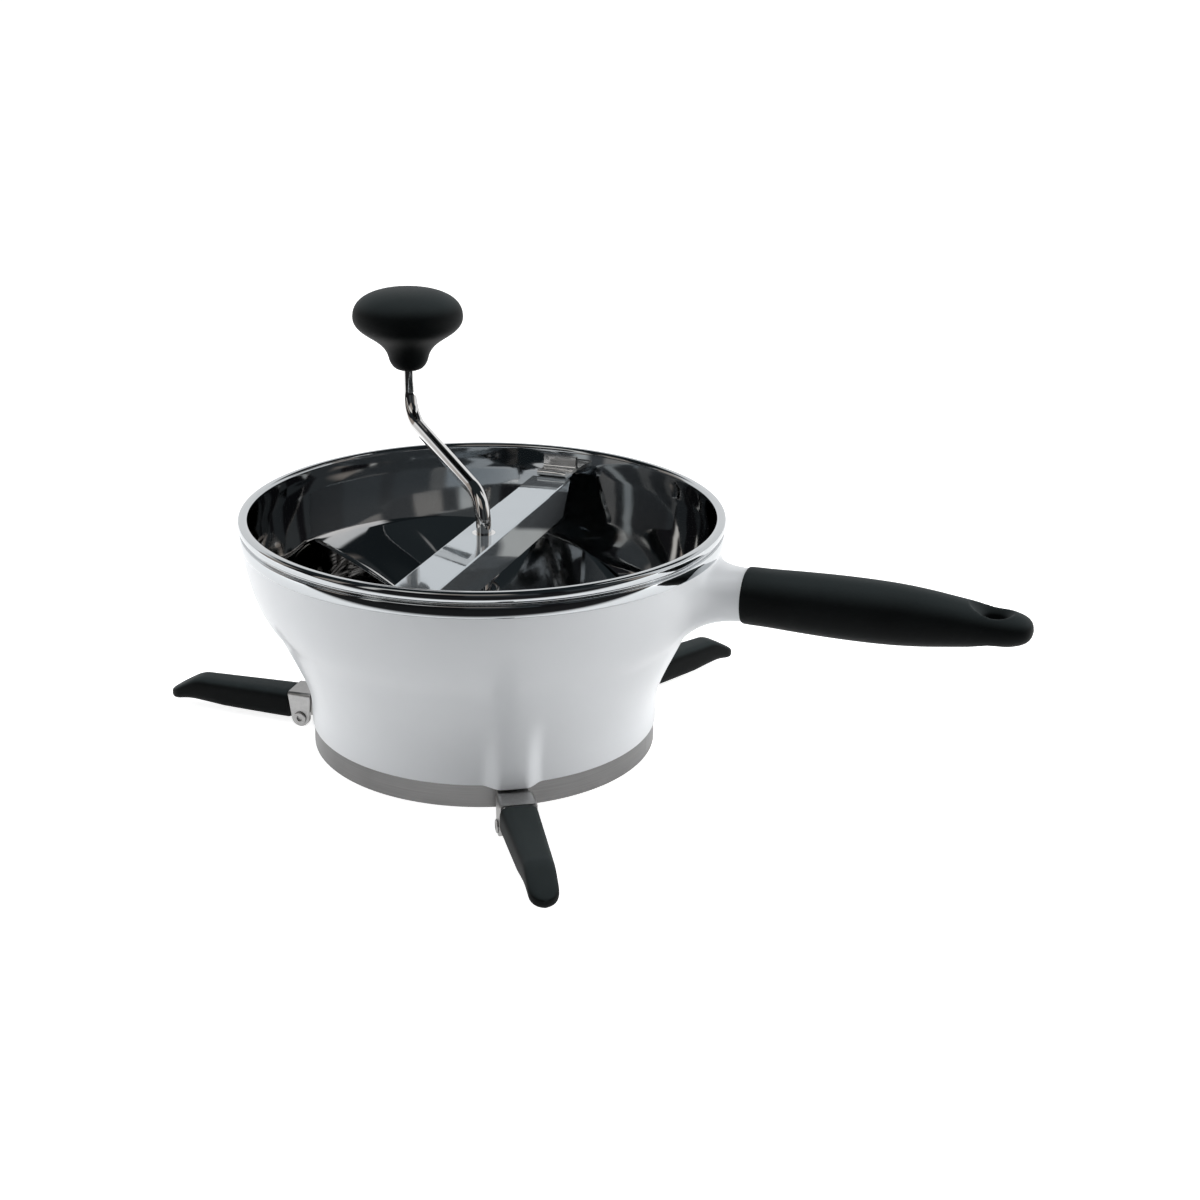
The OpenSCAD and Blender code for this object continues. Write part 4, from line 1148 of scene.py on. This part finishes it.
class MILL_OT_blade(bpy.types.Operator):
    """Presses the two wings of the blade and sets them on their sleeve"""

    bl_idname = "mill.blade"
    bl_label = "Blade"

    # Turn that a wing takes up, height of its tail and its gap to the bowl
    span = math.radians(160)
    tail = 76.8 * MM
    wall_gap = 2.6 * MM
    # How steeply the outer edge rises, where the tail starts and how far the middle leans ahead
    steepness, tail_start, lean = 2.9, 0.72, math.radians(9)
    # How deep the wings stand in the sleeve
    overlap = 0.7 * MM
    # Radii of the sleeve that the wings stand on, and the rounding of its ends
    sleeve, bore, lip = 8 * MM, 6.6 * MM, 0.5 * MM

    def execute(self, context):
        s = sizes()
        edge_low = DISC_HIGH.z + 1 * MM
        sleeve, bore, lip = self.sleeve, self.bore, self.lip
        sleeve_top = HUB_HIGH.z
        root_radius, root_top = sleeve - self.overlap, sleeve_top - 10 * MM
        wall = wall_line(s.shell_wall + SHELL_GAP + s.bowl_sheet)

        def point(sweep, out):
            """A wing's place by its shares of the turn and of the way out from the sleeve."""
            rise = 1 - (1 - sweep) ** self.steepness
            edge_height = edge_low + (self.tail - edge_low) * rise
            late = max(0.0, (sweep - self.tail_start) / (1 - self.tail_start))
            root_height = edge_low + (root_top - edge_low) * smooth(sweep)
            edge_radius = radius_at(wall, edge_height) - self.wall_gap
            radius = root_radius + (edge_radius - root_radius) * out
            bend = 0.65 - 1.25 * smooth(late)
            share = out + (out * out - out) * bend
            height = root_height + (edge_height - root_height) * share
            angle = self.span * sweep + self.lean * out * (1 - out) * sweep
            return Vector((radius * math.cos(angle), radius * math.sin(angle), height))

        start_piece()
        bpy.ops.mesh.primitive_grid_add(x_subdivisions=90, y_subdivisions=30, size=2.0)
        wing = bpy.context.object
        for vert in wing.data.vertices:
            vert.co = point((vert.co.x + 1) / 2, (vert.co.y + 1) / 2)
        down = sum(f.normal.z * f.area for f in wing.data.polygons) < 0
        add_modifier(wing, "SOLIDIFY", thickness=s.blade_sheet, offset=-1.0 if down else 1.0)
        add_modifier(wing, "BEVEL", width=0.3 * MM, segments=2, limit_method="ANGLE",
                     angle_limit=math.radians(50))
        wings = [piece for _, piece in spread({"first": 8, "second": 188}, wing)]
        tube = spin_profile([
            (bore, edge_low), (sleeve - lip, edge_low), (sleeve, edge_low + lip), (sleeve, sleeve_top - lip),
            (sleeve - lip, sleeve_top), (bore, sleeve_top), (bore, edge_low)], 72)
        choose(tube)
        for wing in wings:
            wing.select_set(True)
        bpy.ops.object.join()
        settle(tube, "pressed_blade", "blade_steel", "crank", "blade")
        return {"FINISHED"}


class MILL_OT_knob(bpy.types.Operator):
    """Spins the mushroom-shaped knob"""

    bl_idname = "mill.knob"
    bl_label = "Knob"

    def execute(self, context):
        s = sizes()
        base, top = KNOB_LOW.z, KNOB_HIGH.z
        height = top - base
        radius = (KNOB_HIGH.x - KNOB_LOW.x) / 2
        girth = base + 0.66 * height
        neck = base + 5.4 * MM
        slim = 0.36 * radius
        hole, bore = s.rod_radius + 1.1 * MM, 7.2 * MM

        def at(r, z):
            """A place of the profile, by radius and height."""
            return Vector((r, z))

        crown = bezier(at(0, top), at(0.6 * radius, top), at(radius, top - 4 * MM), at(radius, girth), 26)
        flank = bezier(at(radius, girth), at(radius, girth - 9 * MM), at(0.44 * radius, girth - 9.5 * MM),
                       at(slim, neck), 26)
        tip = bezier(at(slim, neck), at(slim - 0.6 * MM, neck - 2.6 * MM), at(s.rod_radius + 3.4 * MM, base),
                     at(hole, base), 12)
        seat = ROD_HIGH.z + 3 * MM
        profile = crown + flank[1:] + tip[1:] + [
            at(hole, base + 0.4 * MM), at(s.rod_radius + 2.4 * MM, base + 3.4 * MM),
            at(bore, base + 9.4 * MM), at(bore, seat), at(0, seat)]
        piece = spin_profile(profile, 128, (KNOB_AXIS.x, KNOB_AXIS.y))
        settle(piece, "knob_soft_grip", "soft_rubber", "knob", "knob_grip", 60.0)
        return {"FINISHED"}


class MILL_OT_finishes(bpy.types.Operator):
    """Makes the finishes and gives each carried-over node its own"""

    bl_idname = "mill.finishes"
    bl_label = "Finishes"

    # The crossbar is bluer and duller than the bowl
    bar_tint = (0.46, 0.5, 0.53)

    def execute(self, context):
        steel = tuple(colours().satin)
        made = {
            "polished_steel": drawn_steel("drawn_steel", tuple(colours().steel)),
            "brushed_steel": brushed_steel("bracket_steel", tinted(steel, 0.8), (400.0, 400.0, 400.0), 0.3),
            "disc_steel": brushed_steel("disc_steel", tinted(steel, 0.95), (90.0, 2400.0, 90.0), 0.3),
            "spring_steel": brushed_steel("coil_steel", tinted(steel, 0.8), (900.0, 900.0, 900.0), 0.24),
            "turned_steel": brushed_steel("turned_steel", tinted(steel, 0.95), (200.0, 200.0, 3000.0), 0.26),
            "core_plastic": core_plastic(),
            "black_rubber": soft_rubber(),
            "white_plastic": shell_plastic(),
        }
        drawn_steel("bar_steel", self.bar_tint, 0.8)
        satin_steel("clip_steel", tinted(steel, 1.45))
        polished_steel("bowl_steel")
        polished_steel("blade_steel")
        band = brushed_steel("band_steel", tinted(steel, 0.36), (30.0, 30.0, 2600.0), 0.3)
        for name, slot in SLOTS.items():
            finish = band if name == "base_band" else made[slot]
            materials = frame["nodes"][name].data.materials
            materials.clear()
            materials.append(finish)
        return {"FINISHED"}


class MILL_OT_studio(bpy.types.Operator):
    """Sets the pale floor, the soft light, the surround and the camera"""

    bl_idname = "mill.studio"
    bl_label = "Studio"

    tones = {
        "white": (0.95, 0.955, 0.96), "ceiling": (0.016, 0.021, 0.024), "dark": (0.012, 0.012, 0.014),
        "warm": (0.36, 0.32, 0.29), "slate": (0.05, 0.056, 0.06), "bright": (0.8, 0.79, 0.76),
    }
    # What the room gives to surfaces that don't mirror it
    even_light = (0.222, 0.227, 0.232)
    # Directions round the mill, in degrees from straight behind it, and what stands there
    ring = [
        (-180, "slate"), (-176, "slate"), (-174, "dark"), (-137, "dark"), (-134, "bright"), (-129, "bright"),
        (-126, "dark"), (-119, "dark"), (-117, "warm"), (-104, "warm"), (-102, "dark"), (-85, "dark"),
        (-82, "warm"), (-64, "warm"), (-60, "white"), (92, "white"), (95, "warm"), (106, "warm"),
        (109, "slate"), (138, "slate"), (141, "dark"), (150, "dark"), (153, "slate"), (180, "slate"),
    ]
    overhead = [
        (-180, "warm"), (-160, "warm"), (-150, "bright"), (-128, "bright"), (-122, "ceiling"),
        (59, "ceiling"), (62, "white"), (81, "white"), (85, "ceiling"), (158, "ceiling"),
        (165, "warm"), (180, "warm"),
    ]

    # Each lamp's place (ahead, to the right, up), size and power
    lamps = {
        "left_softbox": (0.17, -1.5, 0.5, 1.1, 12.6),
        "right_softbox": (0.17, 1.5, 0.5, 1.1, 15.8),
        "top_softbox": (0.1, 0.1, 1.7, 1.2, 10.5),
    }
    # The camera's place, its tilt down and its roll, and its lens in millimetres
    camera_place = Vector((0.3027, -0.7617, 0.3773))
    pitch, roll = math.radians(20.77), math.radians(0.942)
    lens = 57.01

    def execute(self, context):
        scene = bpy.context.scene
        scene.view_settings.view_transform = "Standard"
        self.add_floor()
        self.add_lamps()
        self.add_surround(scene)
        self.add_camera(scene)
        return {"FINISHED"}

    def facing(self, finish, place):
        """Splits a place or direction into ahead of the viewer, to the right and up."""
        x, y, up = finish.parts(place)
        across, along = math.sin(VIEW_TURN), math.cos(VIEW_TURN)
        return x * along + y * across, x * across - y * along, up

    def add_floor(self):
        """White paper. Reflections lose it towards the dark front of the room."""
        start_piece()
        bpy.ops.mesh.primitive_plane_add(size=24.0, location=(0, 0, CAD_BOUNDS[0][2] - 0.05 * MM))
        floor = bpy.context.object
        floor.name = "floor"
        paint = Paint("floor_paper", Roughness=0.9, Specular_IOR_Level=0.05)
        ahead, aside, up = self.facing(paint, paint.place())
        mirrored = paint.ray("Glossy")
        lost = mirrored * (1.0 - ahead.ease(-0.32, -0.2))
        paint.set("Base Color", paint.mixed(lost, (0.9, 0.9, 0.9), (0.02, 0.02, 0.021)))
        seen = paint.ray("Camera") + paint.ray("Transmission") + 0.68 * (mirrored - lost)
        paint.set("Emission Color", (1.0, 1.0, 1.0))
        paint.set("Emission Strength", 0.82 * seen)
        floor.data.materials.append(paint.done())

    def add_lamps(self):
        across, along = math.sin(VIEW_TURN), math.cos(VIEW_TURN)
        for name, (ahead, aside, height, size, power) in self.lamps.items():
            light = bpy.data.lights.new(name, "AREA")
            light.shape = "SQUARE"
            light.size = size
            light.energy = power
            lamp = bpy.data.objects.new(name, light)
            bpy.context.scene.collection.objects.link(lamp)
            lamp.location = (ahead * along + aside * across, ahead * across - aside * along, height)
            lamp.rotation_euler = (Vector((0, 0, 0.06)) - lamp.location).to_track_quat("-Z", "Y").to_euler()
            lamp.visible_glossy = False

    def add_surround(self, scene):
        """White paper behind and beside the mill, a dim room in front and overhead."""
        world = bpy.data.worlds.new("studio_surround")
        scene.world = world
        world.use_nodes = True
        sky = Finish(world.node_tree)
        ahead, aside, up = self.facing(sky, sky.node("ShaderNodeTexCoord"))
        turn = ahead.math("ARCTAN2", aside, ahead) / math.tau + 0.5
        low, high = (sky.node("ShaderNodeValToRGB", {"stops": [
            (0.5 + degrees / 360, (*self.tones[tone], 1.0)) for degrees, tone in ring]}, turn)
            for ring in (self.ring, self.overhead))
        high = sky.mixed(up.ease(0.87, 0.9), high, self.tones["ceiling"])
        colour = sky.mixed(up.ease(0.5, 0.6), low, high)
        colour = sky.mixed(sky.ray("Diffuse"), colour, self.even_light)
        colour = sky.mixed(sky.ray("Camera"), colour, (1.0, 1.0, 1.0))
        back = world.node_tree.nodes["Background"]
        sky.feed(back.inputs["Color"], colour)
        back.inputs["Strength"].default_value = 1.0

    def add_camera(self, scene):
        level, down = math.cos(self.pitch), math.sin(self.pitch)
        ahead = Vector((math.cos(VIEW_TURN) * level, math.sin(VIEW_TURN) * level, -down))
        right = ahead.cross(Vector((0, 0, 1))).normalized()
        up = right.cross(ahead)
        across = math.cos(self.roll) * right + math.sin(self.roll) * up
        upright = math.cos(self.roll) * up - math.sin(self.roll) * right
        stand = Matrix((across, upright, -ahead)).transposed().to_4x4()
        stand.translation = self.camera_place
        data = bpy.data.cameras.new("camera")
        data.lens = self.lens
        data.sensor_width = 36.0
        camera = bpy.data.objects.new("camera", data)
        scene.collection.objects.link(camera)
        camera.matrix_world = stand
        scene.camera = camera


class MILL_PT_panel(bpy.types.Panel):
    """Lists the mill's pieces in the sidebar"""

    bl_idname = "MILL_PT_panel"
    bl_label = "Kitchen mill"
    bl_space_type = "VIEW_3D"
    bl_region_type = "UI"
    bl_category = "Mill"

    def draw(self, context):
        for operator in PIECES:
            self.layout.operator(operator.bl_idname)
        for group in (context.scene.mill_sizes, context.scene.mill_colours):
            for name in group.__annotations__:
                self.layout.prop(group, name)


PIECES = (
    MILL_OT_finishes, MILL_OT_bowl, MILL_OT_shell, MILL_OT_handle, MILL_OT_legs, MILL_OT_brackets,
    MILL_OT_clips, MILL_OT_spring, MILL_OT_crossbar, MILL_OT_crank, MILL_OT_blade, MILL_OT_knob,
    MILL_OT_studio,
)
CLASSES = (MillSizes, MillColours, *PIECES, MILL_PT_panel)


def register():
    for item in CLASSES:
        bpy.utils.register_class(item)
    bpy.types.Scene.mill_sizes = bpy.props.PointerProperty(type=MillSizes)
    bpy.types.Scene.mill_colours = bpy.props.PointerProperty(type=MillColours)


def unregister():
    del bpy.types.Scene.mill_colours
    del bpy.types.Scene.mill_sizes
    for item in reversed(CLASSES):
        bpy.utils.unregister_class(item)


def main():
    """Models the mill and its studio."""
    register()
    for operator in PIECES:
        group, name = operator.bl_idname.split(".")
        if getattr(getattr(bpy.ops, group), name)() != {"FINISHED"}:
            raise RuntimeError(operator.bl_label + " wasn't finished")


if __name__ == "__main__":
    main()
